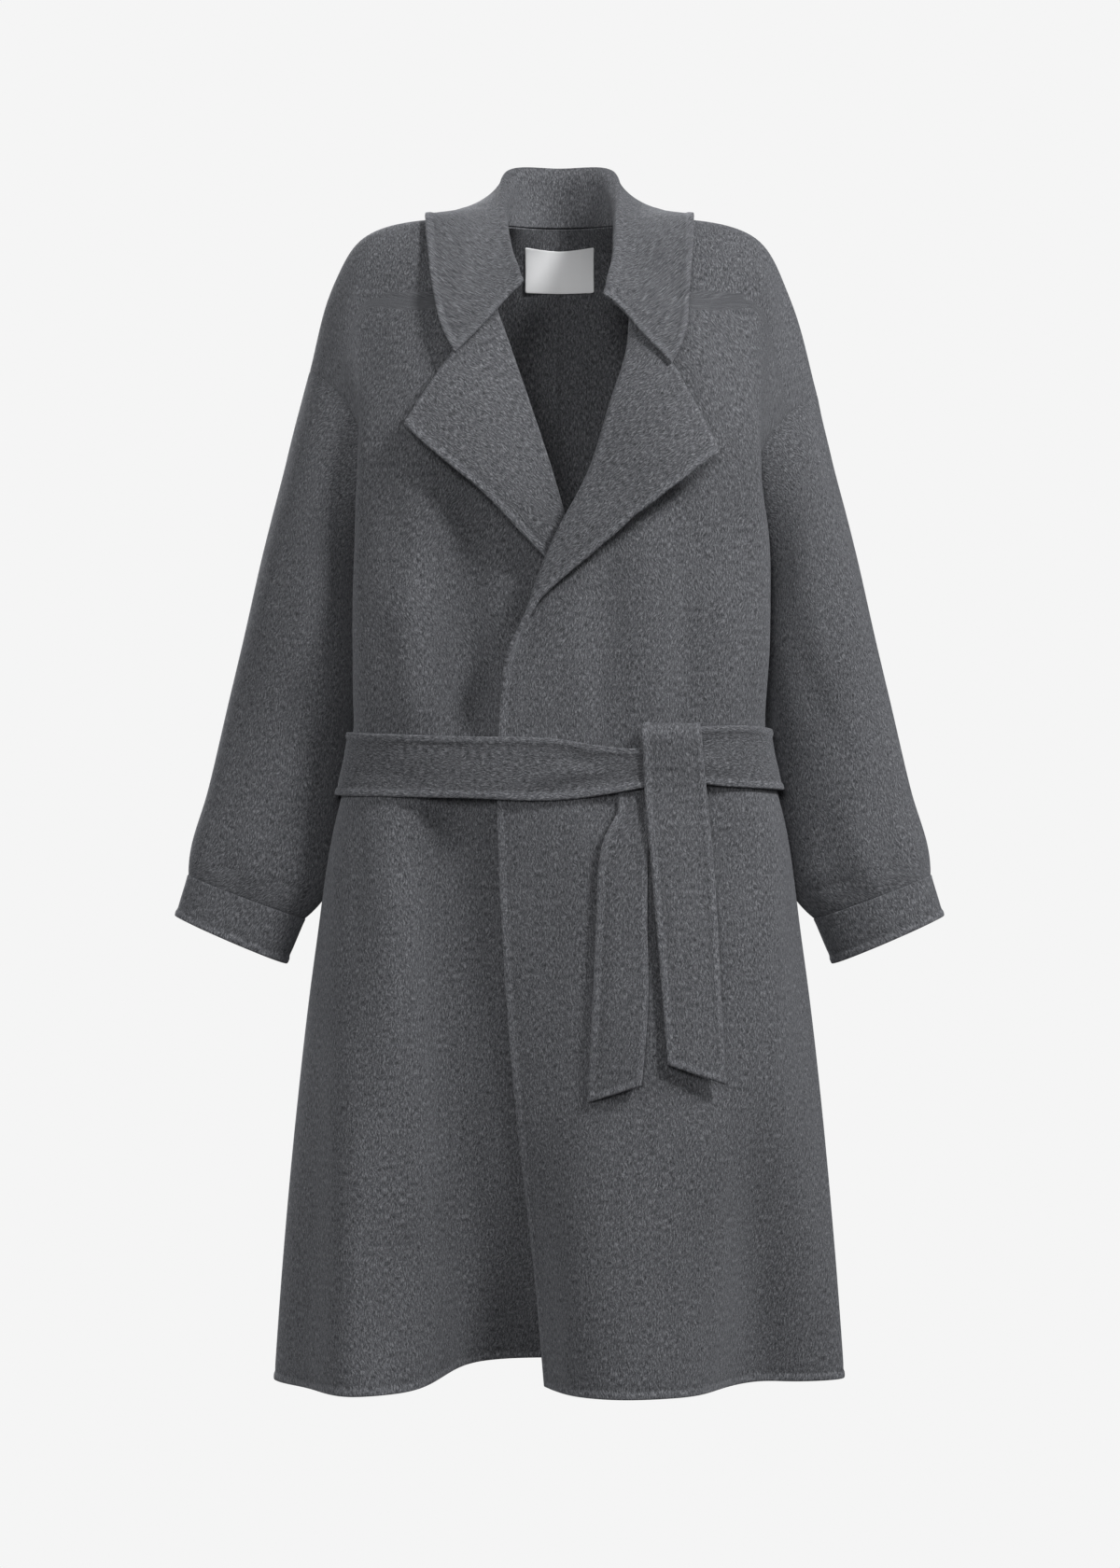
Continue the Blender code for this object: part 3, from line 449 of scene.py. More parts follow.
def creased(grid, table, from_seam, facing, closed=False):
    """The grid moved out by the table's creases, which fade away towards its seams. "facing" is +1 where
    the grid's normals point out of the coat and -1 where they point into it."""
    heights = facing * crease_heights(grid, table) * np.clip(from_seam / SEAM_FADE, 0, 1)
    return grid + face_normals(grid, closed) * heights[..., None]


def mirrored(grid, side):
    """The grid on its own side of the coat: side is +1 for the viewer's right and -1 for the left."""
    return grid * (side, 1, 1)


# How far each piece's pattern starts from the one before, so that no two look alike.
PATTERN_SHIFT = 0.37


def cloth_piece(name, grid, wall, finish, thickness, closed=False, length_along="rows"):
    """A grid of points as a sheet of cloth: quads between kept points, a UV map of the cloth's own width
    and length in metres, and walls from Solidify, scaled by the thickness at each point. Points that are
    not numbers are left out, and a closed grid joins its last column to its first."""
    kept = ~np.isnan(grid[..., 0])
    number = np.where(kept, np.cumsum(kept).reshape(kept.shape) - 1, -1)
    wide = grid
    if closed:
        number = np.concatenate([number, number[:, :1]], axis=1)
        wide = np.concatenate([grid, grid[:, :1]], axis=1)
    down = arc_lengths(wide, 0)
    places = np.stack([arc_lengths(wide, 1), down - down[len(down) // 2]], axis=-1)
    places += len(bpy.data.meshes) * PATTERN_SHIFT
    if length_along == "columns":
        places = places[..., ::-1]
    corners = (np.s_[:-1, :-1], np.s_[:-1, 1:], np.s_[1:, 1:], np.s_[1:, :-1])
    quads = np.stack([number[corner] for corner in corners], axis=-1)
    whole = (quads >= 0).all(axis=-1)
    uvs = np.stack([places[corner] for corner in corners], axis=-2)[whole]
    mesh = bpy.data.meshes.new(name)
    mesh.from_pydata(grid[kept], [], quads[whole])
    mesh.uv_layers.new(name="cloth").data.foreach_set("uv", uvs.astype(np.float32).ravel())
    # The thickness is also kept as an attribute, from which the wool paints highlight on thick places and
    # shade on thin ones.
    felled = mesh.attributes.new("felled", "FLOAT", "POINT")
    felled.data.foreach_set("value", thickness[kept].astype(np.float32))
    mesh.materials.append(finish)
    mesh.shade_smooth()
    piece = bpy.data.objects.new(name, mesh)
    bpy.context.scene.collection.objects.link(piece)
    most = float(thickness.max())
    weights = piece.vertex_groups.new(name="thickness")
    shares = thickness[kept] / most
    levels = np.round(shares, 2)
    for level in np.unique(levels):
        weights.add(np.flatnonzero(levels == level).tolist(), float(level), "REPLACE")
    cloth = piece.modifiers.new("cloth", "SOLIDIFY")
    cloth.thickness = wall * most
    cloth.offset = 0
    cloth.vertex_group = "thickness"
    rounded = piece.modifiers.new("rounded", "SUBSURF")
    rounded.levels = rounded.render_levels = 1
    rounded.use_limit_surface = False
    rounded.uv_smooth = "PRESERVE_BOUNDARIES"
    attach(piece, "root")
    return piece


def linked(tree, kind, settings=None, **inputs):
    """A new shader node with its settings, and its inputs set or linked by their names, or by their
    numbers after an underscore."""
    node = tree.nodes.new(kind)
    for key, value in (settings or {}).items():
        setattr(node, key, value)
    for key, value in inputs.items():
        socket = node.inputs[int(key[1:])] if key[1:].isdigit() else node.inputs[key.replace("_", " ")]
        if isinstance(value, bpy.types.NodeSocket):
            tree.links.new(value, socket)
        else:
            socket.default_value = value
    return node


# What the melange is mixed from: strands to the metre across and along the cloth, the noise's detail and
# roughness, and the share in the mix. Short fibres, paler and darker flecks, long streaks of the nap.
STRANDS = (
    ((760.0, 190.0, 1.0), 3.0, 0.62, 0.57),
    ((1300.0, 480.0, 1.0), 2.0, 0.7, 0.38),
    ((150.0, 14.0, 1.0), 2.0, 0.5, 0.05),
)
WANDER_SCALE = 55.0
WANDER_REACH = (0.012, 0.003, 0.0)
MIX_DARKEST = 0.37
MIX_PALEST = 0.63


def melange_group():
    """The brushed cloth's pattern from its width and length in metres: strands that lie down the cloth
    and wander, mixed, and spread over a dark, a middle and a pale wool. The last input scales the
    colour with the cloth's thickness: painted highlight where it stands thicker, painted shade where it is
    thinner."""
    tree = bpy.data.node_groups.new("brushed melange", "ShaderNodeTree")
    face = tree.interface
    face.new_socket("Place", in_out="INPUT", socket_type="NodeSocketVector")
    for name, grey in (("Dark", 0.02), ("Mid", 0.1), ("Pale", 0.3)):
        socket = face.new_socket(name, in_out="INPUT", socket_type="NodeSocketColor")
        socket.default_value = (grey, grey, grey, 1)
    face.new_socket("Lift", in_out="INPUT", socket_type="NodeSocketFloat").default_value = 1.0
    face.new_socket("Color", in_out="OUTPUT", socket_type="NodeSocketColor")
    face.new_socket("Height", in_out="OUTPUT", socket_type="NodeSocketFloat")
    given = tree.nodes.new("NodeGroupInput")
    result = tree.nodes.new("NodeGroupOutput")
    place = given.outputs["Place"]
    wander = linked(tree, "ShaderNodeTexNoise", Vector=place, Scale=WANDER_SCALE, Detail=2.0)
    bent = linked(tree, "ShaderNodeVectorMath", {"operation": "MULTIPLY_ADD"},
                  _0=wander.outputs["Color"], _1=WANDER_REACH, _2=place)
    mixed = 0.0
    for per_metre, detail, roughness, share in STRANDS:
        drawn = linked(tree, "ShaderNodeVectorMath", {"operation": "MULTIPLY"},
                       _0=bent.outputs["Vector"], _1=per_metre)
        strands = linked(tree, "ShaderNodeTexNoise", Vector=drawn.outputs["Vector"], Scale=1.0,
                         Detail=detail, Roughness=roughness)
        sum_so_far = linked(tree, "ShaderNodeMath", {"operation": "MULTIPLY_ADD"},
                            _0=strands.outputs["Fac"], _1=share, _2=mixed)
        mixed = sum_so_far.outputs[0]
    spread = linked(tree, "ShaderNodeMapRange", Value=mixed, From_Min=MIX_DARKEST, From_Max=MIX_PALEST)
    lower = linked(tree, "ShaderNodeMapRange", Value=spread.outputs[0], From_Min=0.0, From_Max=0.5)
    upper = linked(tree, "ShaderNodeMapRange", Value=spread.outputs[0], From_Min=0.5, From_Max=1.0)
    darker = linked(tree, "ShaderNodeMix", {"data_type": "RGBA"}, _0=lower.outputs[0],
                    _6=given.outputs["Dark"], _7=given.outputs["Mid"])
    paler = linked(tree, "ShaderNodeMix", {"data_type": "RGBA"}, _0=upper.outputs[0],
                   _6=darker.outputs[2], _7=given.outputs["Pale"])
    # The colour scaled by thickness: painted highlight on raised edges and seams, painted shade in thin
    # channels and seam lines.
    painted_light_colour = linked(tree, "ShaderNodeVectorMath", {"operation": "SCALE"}, _0=paler.outputs[2],
                    Scale=given.outputs["Lift"])
    tree.links.new(painted_light_colour.outputs[0], result.inputs["Color"])
    tree.links.new(spread.outputs[0], result.inputs["Height"])
    return tree


def wool_finish(name, dark, mid, pale):
    """Brushed double-faced wool: the melange on the cloth's own UV map, no gloss, a soft nap at grazing
    angles, a fine fibre relief, and painted highlight and painted shade from the cloth's thickness."""
    finish = bpy.data.materials.new(name)
    finish.use_nodes = True
    tree = finish.node_tree
    shader = tree.nodes["Principled BSDF"]
    shader.inputs["Roughness"].default_value = 0.92
    shader.inputs["Specular IOR Level"].default_value = 0.15
    shader.inputs["Sheen Weight"].default_value = 0.22
    shader.inputs["Sheen Roughness"].default_value = 0.45
    shader.inputs["Sheen Tint"].default_value = (0.9, 0.93, 1.0, 1)
    place = linked(tree, "ShaderNodeUVMap", {"uv_map": "cloth"})
    # The thickness attribute lightens the colour on the felled edges' rolls and raised seams and darkens it
    # in the channels, seam lines and the collar's stand line: painted highlight and painted shade.
    felled = linked(tree, "ShaderNodeAttribute", {"attribute_name": "felled"})
    lift = linked(tree, "ShaderNodeMapRange", Value=felled.outputs["Fac"], From_Min=0.6, From_Max=1.7,
                  To_Min=0.86, To_Max=1.2)
    pattern = linked(tree, "ShaderNodeGroup", {"node_tree": bpy.data.node_groups["brushed melange"]},
                     Place=place.outputs["UV"], Dark=(*dark, 1), Mid=(*mid, 1), Pale=(*pale, 1),
                     Lift=lift.outputs[0])
    relief = linked(tree, "ShaderNodeBump", Height=pattern.outputs["Height"], Strength=0.5, Distance=0.0007)
    tree.links.new(pattern.outputs["Color"], shader.inputs["Base Color"])
    tree.links.new(relief.outputs["Normal"], shader.inputs["Normal"])
    return finish


# How finely the panels are divided: fractional rows and columns of the tables, some 10 mm apart, closer
# at the hem and the lapel's top edge, and even between the lapel's top and the shoulder.
ROWS_PER_SECTION = (12, 14, 15, 12, 7, 6, 6, 6, 7, 5, 5, 5)
BACK_NECK_COLUMNS = np.array([0, 0.025, 0.09, 0.2, 0.4, 0.6, 0.8])
FRONT_COLUMNS = np.concatenate([start + np.linspace(0, 1, count, endpoint=False)
                                for start, count in enumerate((7, 7, 7, 5, 5))] + [[4.9, 4.97, 5]])
LAPEL_TOP_ROW = 13
TURN_COLUMNS = 5
FLAT_COLUMNS = 9
section_rows = [start + np.linspace(0, 1, count, endpoint=False)
                for start, count in enumerate(ROWS_PER_SECTION)]
hem_rows = EDGE_STEPS[1:] / (MM * (LEVELS[1] - LEVELS[0]))
section_rows[0] = np.concatenate([[0], hem_rows, section_rows[0][3:]])
under_notch = np.array([12, 12.25, 12.5, 12.68, 12.8, 12.87, 12.93])
rows = np.concatenate([*section_rows, under_notch, np.linspace(13, 15, 13)[:-1], [14.93, 14.98, 15]])

melange_group()
wool = wool_finish("wool", (0.028, 0.0285, 0.031), (0.088, 0.090, 0.098), (0.22, 0.225, 0.24))

SIDES = (
    ("overlap", "right", 1, FRONT_OVERLAP, OVERLAP_ROLL, OVERLAP_LAPEL, OVERLAP_TURN, LONG_SHOULDER,
     OVERLAP_HEM_LIFT, OVERLAP_CREASES, RIGHT_BACK_CREASES),
    ("underlap", "left", -1, FRONT_UNDERLAP, UNDERLAP_ROLL, UNDERLAP_LAPEL, UNDERLAP_TURN, (0, 0, 0),
     UNDERLAP_HEM_LIFT, UNDERLAP_CREASES, LEFT_BACK_CREASES),
)
armhole_start = int(np.searchsorted(rows, len(LEVELS) - 1))
neck_first = int(np.searchsorted(rows, LAPEL_TOP_ROW))
neck_count = len(BACK_NECK_COLUMNS)
# Where each point of the armhole's loop lies round the sleeve: the angle grows evenly from one of these
# rows to the next.
ANGLE_ROWS = (9, 10, 11, 12, 12.5, 13, 13.5, 14, 14.5, 15)
half_round = np.interp(rows[armhole_start:], ANGLE_ROWS, np.linspace(0, np.pi, len(ANGLE_ROWS)))
around = np.concatenate([half_round, 2 * np.pi - half_round[-2:0:-1]])
sleeve_rows = np.concatenate([[0, 0.012, 0.04], np.arange(1 / 9, 6, 1 / 9), [6, 6.3, 6.6, 6.8, 6.95, 7]])
sheets = {}
for (lap, hand, side, levels_table, roll_table, lapel_table, turns, long_shoulder, hem_lift, front_creases,
     back_creases) in SIDES:
    front, back = body_sheets(levels_table, roll_table, long_shoulder, hem_lift)
    armhole = np.concatenate([front[armhole_start:, -1], back[armhole_start:-1, -1][:0:-1]])
    sleeve = curve_through(np.array([armhole] + [ring(row, around) for row in SLEEVE]), sleeve_rows)
    neck = np.concatenate([front[neck_first:, 0], back[-1, :neck_count][::-1]])
    front = creased(front, front_creases, np.minimum(from_last(front, 1), from_last(front, 0)), 1)
    back = creased(back, back_creases, np.minimum(from_both(back, 1), from_last(back, 0)), -1)

    upper = len(rows) - armhole_start
    beyond_front = back[:, -2].copy()
    beyond_back = front[:, -2].copy()
    beyond_front[armhole_start:] = sleeve[1, :upper]
    beyond_back[armhole_start:] = np.concatenate([sleeve[1, :1], sleeve[1, upper:][::-1],
                                                  sleeve[1, upper - 1:upper]])
    inside_armhole = np.concatenate([front[armhole_start:, -2], back[armhole_start:-1, -2][:0:-1]])
    front_whole, back_whole = front.copy(), back.copy()
    draw_back(front, "right", beyond_front)
    draw_back(back, "right", beyond_back)
    draw_back(front, "top", back_whole[-2, neck_count:])
    draw_back(back, "top", np.concatenate([back_whole[-1, :neck_count] + (0, 0, 0.01), front_whole[-2]]))
    draw_back(back, "left", back[:, 1] * (-1, 1, 1))
    draw_back(sleeve, "bottom", inside_armhole, loop=True)
    sheets[hand] = {"back": back_whole, "sleeve": sleeve, "neck": neck}

    front = add_lapel(front, lapel_table, turns)
    lapel_columns = front.shape[1] - len(FRONT_COLUMNS)
    last = neck_first + 1
    from_notch = np.full(front.shape[:2], 1.0)
    from_notch[:last, :lapel_columns] = from_last(front[:last], 0)[:, :lapel_columns]
    nearest = np.minimum(np.minimum(arc_lengths(front, 1), arc_lengths(front, 0)), from_notch)
    near_seam = np.minimum(from_last(front, 1), from_last(front, 0))
    thick = edge_thickness(nearest) * seam_thickness(near_seam)
    piece = cloth_piece("front_" + lap, mirrored(front, side), WALL, wool, thick)
    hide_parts("front_" + lap)

    near_seam = np.minimum(from_both(back, 1), from_last(back, 0))
    thick = edge_thickness(arc_lengths(back, 0)) * seam_thickness(near_seam)
    piece = cloth_piece("back_" + hand, mirrored(back, side), WALL, wool, thick)
    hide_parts("back_" + hand)


# ---------------------------------------------------------------------------------------- the sleeves
# Two tubes of the same cloth, each cut in one piece with a seam under the arm and set on a dropped
# armhole. They fill out like arms that hang a little away from the body and close in to the cuffs.

SLEEVE_CREASES = (
    # start out, height, end out, height, bow, width, ridge
    (222, -320, 268, -520, 10, 16, -2.6),
    (262, -250, 300, -430, -8, 17, 2.2),
    (246, -430, 300, -560, 8, 14, -2.2),
    (300, -420, 330, -620, -6, 15, -2.0),
    (268, -590, 292, -700, 4, 12, -2.6),
    (300, -600, 326, -712, 3, 11, 2.2),
    (330, -610, 352, -722, 2, 11, -2.2),
    (356, -640, 368, -716, 0, 9, 1.8),
)
CUFF_WALL = 3.0 * MM
CUFF_ROWS = np.array([0, 0.03, 0.12, 0.3, 0.5, 0.7, 0.82, 0.87, 0.91, 0.955, 1])
for hand, side, lap in (("right", 1, "overlap"), ("left", -1, "underlap")):
    sleeve = sheets[hand]["sleeve"]
    sleeve = creased(sleeve, SLEEVE_CREASES, from_both(sleeve, 0), -1, closed=True)
    cuff_top = ring(SLEEVE[-1], around)
    cuff = cuff_top + (ring(CUFF_END, around) - cuff_top) * CUFF_ROWS[:, None, None]
    above_cuff = sleeve[-2].copy()
    draw_back(sleeve, "top", cuff[1], CUFF_WALL, loop=True)
    draw_back(cuff, "bottom", above_cuff, CUFF_WALL, loop=True)
    sheets[hand]["cuff"] = cuff
    thick = seam_thickness(from_both(sleeve, 0))
    piece = cloth_piece("sleeve_" + hand, mirrored(sleeve, side), WALL, wool, thick, closed=True)
    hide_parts("sleeve_" + hand)


# ------------------------------------------------------------------------------------------- the cuffs
# A straight band of the cloth round each sleeve's end, doubled and turned, sewn on along a raised seam
# and felled at its free edge.

# The raised seam is also drawn paler through the wool's colour: painted highlight.
CUFF_SEAM_AT = np.array([0, 4, 7, 10]) * MM
CUFF_SEAM_PROFILE = (1.25, 1.25, 0.9, 1)
for hand, side in (("right", 1), ("left", -1)):
    cuff = sheets[hand]["cuff"]
    raised = np.interp(arc_lengths(cuff, 0), CUFF_SEAM_AT, CUFF_SEAM_PROFILE)
    thick = edge_thickness(from_last(cuff, 0)) * raised
    piece = cloth_piece("cuff_" + hand, mirrored(cuff, side), CUFF_WALL, wool, thick, closed=True)
    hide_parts("cuff_" + hand)


# ------------------------------------------------------------------------------------------ the collar
# One strip of the cloth round the neck: it stands up from the neck seam, rolls over and falls on the
# shoulders, with slanted ends in front. Its rim and ends are felled like the coat's other edges.

COLLAR_UNDERLAP = (
    # ridge              rim
    ((37, -96, -74), (103, -128, -147)),
    ((41, -86, -60), (114, -118, -126)),
    ((48, -62, -40), (126, -90, -80)),
    ((53, -32, -15), (133, -54, -27)),
    ((57, 2, 12), (136, -8, 6)),
    ((59, 30, 36), (136, 26, 3)),
    ((53, 60, 60), (110, 76, -10)),
    ((0, 82, 65), (0, 104, -30)),
)
COLLAR_OVERLAP = (
    ((45, -102, -88), (110, -132, -158)),
    ((48, -91, -72), (122, -122, -134)),
    ((54, -64, -48), (129, -92, -80)),
    ((57, -32, -17), (134, -54, -27)),
    ((59, 2, 12), (136, -8, 6)),
    ((60, 30, 36), (136, 26, 3)),
    ((54, 60, 60), (110, 76, -10)),
    ((0, 82, 65), (0, 104, -30)),
)
# Where each station's stand is sewn: 0 at the top of the lapel, 1 at the shoulder seam, 2 at centre back.
COLLAR_SEWN_AT = (0.08, 0.22, 0.45, 0.65, 0.88, 1.15, 1.5, 2.0)
COLLAR_SEAT = WALL / 2
COLLAR_BILLOW = 4 * MM
COLLAR_ROLL_RADIUS = 6 * MM


def read_between(grid, positions):
    """Rows of a grid at fractional numbers, straight between their neighbours."""
    low = np.minimum(np.floor(positions).astype(int), len(grid) - 2)
    share = (positions - low).reshape((-1,) + (1,) * (grid.ndim - 1))
    return grid[low] * (1 - share) + grid[low + 1] * share


def collar_half(stations, neck_line, neck_places, positions):
    """Lines of one half of the collar, from its front end to the centre back: from the sewn edge, up to
    the roll, over it, and down through a slight billow to the rim."""
    stations = np.array(stations, float) * MM
    stations = np.append(stations, stations[-2:-1] * (-1, 1, 1), axis=0)
    ridge, rim = np.swapaxes(curve_through(stations, positions), 0, 1)
    sewn_at = np.interp(positions, np.arange(len(COLLAR_SEWN_AT)), COLLAR_SEWN_AT)
    sewn = read_between(neck_line, np.interp(sewn_at, neck_places, np.arange(len(neck_places))))
    up = unit(ridge - sewn)
    out = rim - sewn
    out = unit(out - up * np.sum(out * up, axis=1, keepdims=True))
    start = sewn + up * COLLAR_SEAT
    inside = ridge - (up + out) * COLLAR_ROLL_RADIUS
    outside = ridge + (out - up) * COLLAR_ROLL_RADIUS
    middle = (outside + rim) / 2 + out * COLLAR_BILLOW
    return np.stack([start, (start + inside) / 2, inside, ridge, outside, middle, rim])


collar_ends = np.array([0, 0.07, 0.15, 0.24, 0.34, 0.46, 0.6, 0.75, 0.9])
collar_positions = np.concatenate([collar_ends, np.linspace(1, 7, 43)])
collar_rim = [5.4, 5.6, 5.72, 5.8, 5.86, 5.91, 5.955, 6]
collar_across = np.concatenate([[0, 0.05], np.arange(0.2, 5.2, 0.2), collar_rim])
neck_rows = rows[neck_first:] - LAPEL_TOP_ROW
neck_places = np.concatenate([neck_rows / neck_rows[-1], 2 - np.array(BACK_NECK_COLUMNS)[::-1]])
halves = []
for hand, side, stations in (("right", 1, COLLAR_OVERLAP), ("left", -1, COLLAR_UNDERLAP)):
    half = collar_half(stations, sheets[hand]["neck"], neck_places, collar_positions)
    half = np.swapaxes(curve_through(half, collar_across), 0, 1)
    halves.append(mirrored(half, side))
collar = np.concatenate([halves[0], halves[1][-2::-1]])
nearest = np.minimum(from_both(collar, 0), from_last(collar, 1))
# A line along the stand drawn thinner, which also darkens the colour there: painted shade in its groove.
stand_line = 1 - 0.3 * np.exp(-((collar_across - 2.35) / 0.12) ** 2)
thick = edge_thickness(nearest) * stand_line
piece = cloth_piece("collar", collar, WALL, wool, thick, length_along="columns")
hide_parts("collar")


# -------------------------------------------------------------------------------------------- the belt
# A long doubled strip of the cloth, turned and felled along its edges. It goes once round the waist over
# the fronts and narrows where it crosses itself in the knot, from which its two ends hang.

BELT_WALL = 3.6 * MM
BELT_WIDTH = 66 * MM
BELT_EDGE_SHARE = 0.9
BELT_EDGES = (
    # degrees, top, bottom
    (-90, -518, -582),
    (-40, -524, -585),
    (0, -527, -587),
    (18, -534, -582),
    (30, -536, -576),
    (42, -518, -568),
    (62, -513, -574),
    (90, -518, -578),
    (180, -518, -582),
)
BELT_CLEARANCE = 1.8 * MM
BELT_MARGIN = 10 * MM
BELT_DIPS_BY = 1.2 * MM
AROUND_POINTS = 168
KNOT_ANGLE = 33
KNOT_BULGE = 9 * MM
KNOT_SPREAD = 15
BELT_CREASES = (
    # start degrees, share of width, end degrees, share, half width in shares, ridge in mm
    (-16, 0.35, 27, 0.62, 0.16, 2.6),
    (-2, 0.72, 28, 0.52, 0.13, -2.4),
    (-10, 0.12, 26, 0.34, 0.12, -1.8),
    (36, 0.55, 62, 0.30, 0.15, 2.4),
    (36, 0.40, 58, 0.72, 0.14, -2.2),
    (-70, 0.5, -40, 0.62, 0.2, 1.2),
    (95, 0.45, 130, 0.6, 0.2, -1.4),
    (150, 0.62, 200, 0.4, 0.2, 1.3),
    (-150, 0.4, -110, 0.55, 0.2, -1.3),
)


def level_section(levels_table, height):
    """Front and back of one side at one height below the armholes, as points from its middle edge to the
    side seam. The front starts at its free edge."""
    index = np.interp(height, np.array(LEVELS) * MM, np.arange(len(LEVELS)))
    front = np.array([[*pairs, seam] for pairs, seam in zip(levels_table, SIDE_SEAM)], float) * MM
    back = np.array([[*pairs, seam] for pairs, seam in zip(BACK, SIDE_SEAM)], float) * MM
    front = curve_through(front, [index])[0]
    back = curve_through(back, [index])[0]
    edge = front[:1] - unit(front[1:2] - front[:1]) * (TURN_LENGTH + EDGE_WIDTH)
    front_curve = curve_through(np.append(front, back[-2:-1], axis=0), np.linspace(0, 6, 31))
    front_curve = np.append(edge, front_curve, axis=0)
    back_curve = curve_through(np.append(back, front[-2:-1], axis=0), np.linspace(0, 6, 31))
    return front_curve, back_curve


def wrap(height, angles, clearance):
    """A taut loop round the waist at one height, this far outside the panels' middle surface: for each
    direction, the nearest of the lines that touch the section."""
    sections = []
    for table, side in ((FRONT_OVERLAP, 1), (FRONT_UNDERLAP, -1)):
        for near in (height - BELT_MARGIN, height + BELT_MARGIN):
            sections.extend(curve * (side, 1) for curve in level_section(table, near))
    section = np.concatenate(sections)
    facing = np.radians(np.arange(0, 360, 3))
    normals = np.stack([np.sin(facing), -np.cos(facing)], axis=1)
    reach = (section @ normals.T).max(axis=0) + clearance
    across = np.cos(angles[:, None] - facing[None])
    distance = np.where(across > 0.2, reach / np.maximum(across, 0.2), np.inf).min(axis=1)
    distance = np.mean([np.roll(distance, shift) for shift in (-2, -1, 0, 1, 2)], axis=0)
    return np.stack([np.sin(angles) * distance, -np.cos(angles) * distance], axis=1)


def belt_crease_heights(degrees, share):
    """How far the belt stands out round the waist at one share of its width: bells across the creases'
    lines that fade to nothing at both ends."""
    heights = np.zeros(len(degrees))
    for start, start_share, end, end_share, spread, ridge in BELT_CREASES:
        along = ((degrees - start + 180) % 360 - 180) / (end - start)
        inside = np.where((along > 0) & (along < 1), np.clip(4 * along * (1 - along), 0, 1), 0)
        centre = start_share + (end_share - start_share) * along
        heights += ridge * MM * inside * np.exp(-((share - centre) / spread) ** 2)
    return np.maximum(heights, -BELT_DIPS_BY)


angles = np.linspace(-np.pi, np.pi, AROUND_POINTS, endpoint=False)
degrees = np.degrees(angles)
belt_table = np.array(BELT_EDGES, float)
belt_table = np.concatenate([belt_table[-1:] - (360, 0, 0), belt_table])
belt_line = curve_through(belt_table, np.linspace(0, len(belt_table) - 1, 200))
top = np.interp(degrees, belt_line[:, 0], belt_line[:, 1]) * MM
bottom = np.interp(degrees, belt_line[:, 0], belt_line[:, 2]) * MM
width = top - bottom
near_edge = EDGE_STEPS / BELT_WIDTH
between = np.linspace(near_edge[-1], 1 - near_edge[-1], 8)[1:-1]
shares = np.concatenate([near_edge, between, 1 - near_edge[::-1]])
bulge = KNOT_BULGE * np.exp(-((degrees - KNOT_ANGLE) / KNOT_SPREAD) ** 2)
belt = []
for share in shares:
    middle_height = (bottom + width * share).mean()
    plan = wrap(middle_height, angles, WALL / 2 + BELT_CLEARANCE + BELT_WALL / 2)
    raised = bulge + belt_crease_heights(degrees, share)
    plan *= 1 + raised[:, None] / np.linalg.norm(plan, axis=1, keepdims=True)
    belt.append(np.column_stack([plan, bottom + width * share]))
belt = np.array(belt)
thick = edge_thickness(from_both(belt, 0)) * BELT_EDGE_SHARE
piece = cloth_piece("belt", belt, BELT_WALL, wool, thick, closed=True, length_along="columns")
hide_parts("belt")


# --------------------------------------------------------------------------------------- the belt's ends
# The strip's two ends: one comes over the belt at the knot and hangs in front, the other comes out from
# under it. Both are cut slanting at the foot.

FRONT_TAIL = (
    # left and right edge, height, distance in front of the overlap
    (82, 138, -512, 10),
    (80, 139, -519, 18.7),
    (82, 141, -545, 20.7),
    (83, 144, -572, 19.7),
    (90, 152, -657, 16),
    (99, 158, -761, 13),
    (106, 163, -846, 11),
)
FRONT_TAIL_SLANT = 20 * MM
FRONT_TAIL_CROWN = 1.2 * MM
BACK_TAIL = (
    (56, 96, -572, 5),
    (58, 92, -592, 6),
    (43, 88, -626, 8),
    (36, 86, -700, 8),
    (33, 87, -777, 7),
    (28, 80, -884, 7),
)
BACK_TAIL_SLANT = -18 * MM
BACK_TAIL_CROWN = 1.0 * MM
TAIL_TWIST = 7 * MM
LEAST_TAIL_CLEARANCE = 4 * MM


def overlap_depth(x, height):
    """Depth of the overlap's middle surface at a place on the viewer's right."""
    front = level_section(FRONT_OVERLAP, height)[0]
    widest = int(np.argmax(front[:, 0]))
    return np.interp(x, front[:widest, 0], front[:widest, 1])


def tail_sheet(table, slant, row_positions, shares, crown):
    """A hanging end of the belt, from its table of edges, cut slanting at its foot, crowned a little
    across its width and turned a little out of the front's plane on its way down."""
    table = np.array(table, float)
    lines = curve_through(table, row_positions) * MM
    lines[:, 3] = np.maximum(lines[:, 3], LEAST_TAIL_CLEARANCE)
    fall = (row_positions / row_positions[-1]) ** 8 * slant
    grid = []
    for (left, right, height, clear), drop in zip(lines, fall):
        x = left + (right - left) * shares
        twist = TAIL_TWIST * shares * (table[0, 2] * MM - height) / (table[0, 2] - table[-1, 2]) / MM
        depth = overlap_depth(x, height) - clear - crown * np.sin(np.pi * shares) - twist
        grid.append(np.column_stack([x, depth, height - drop * shares]))
    return np.array(grid)


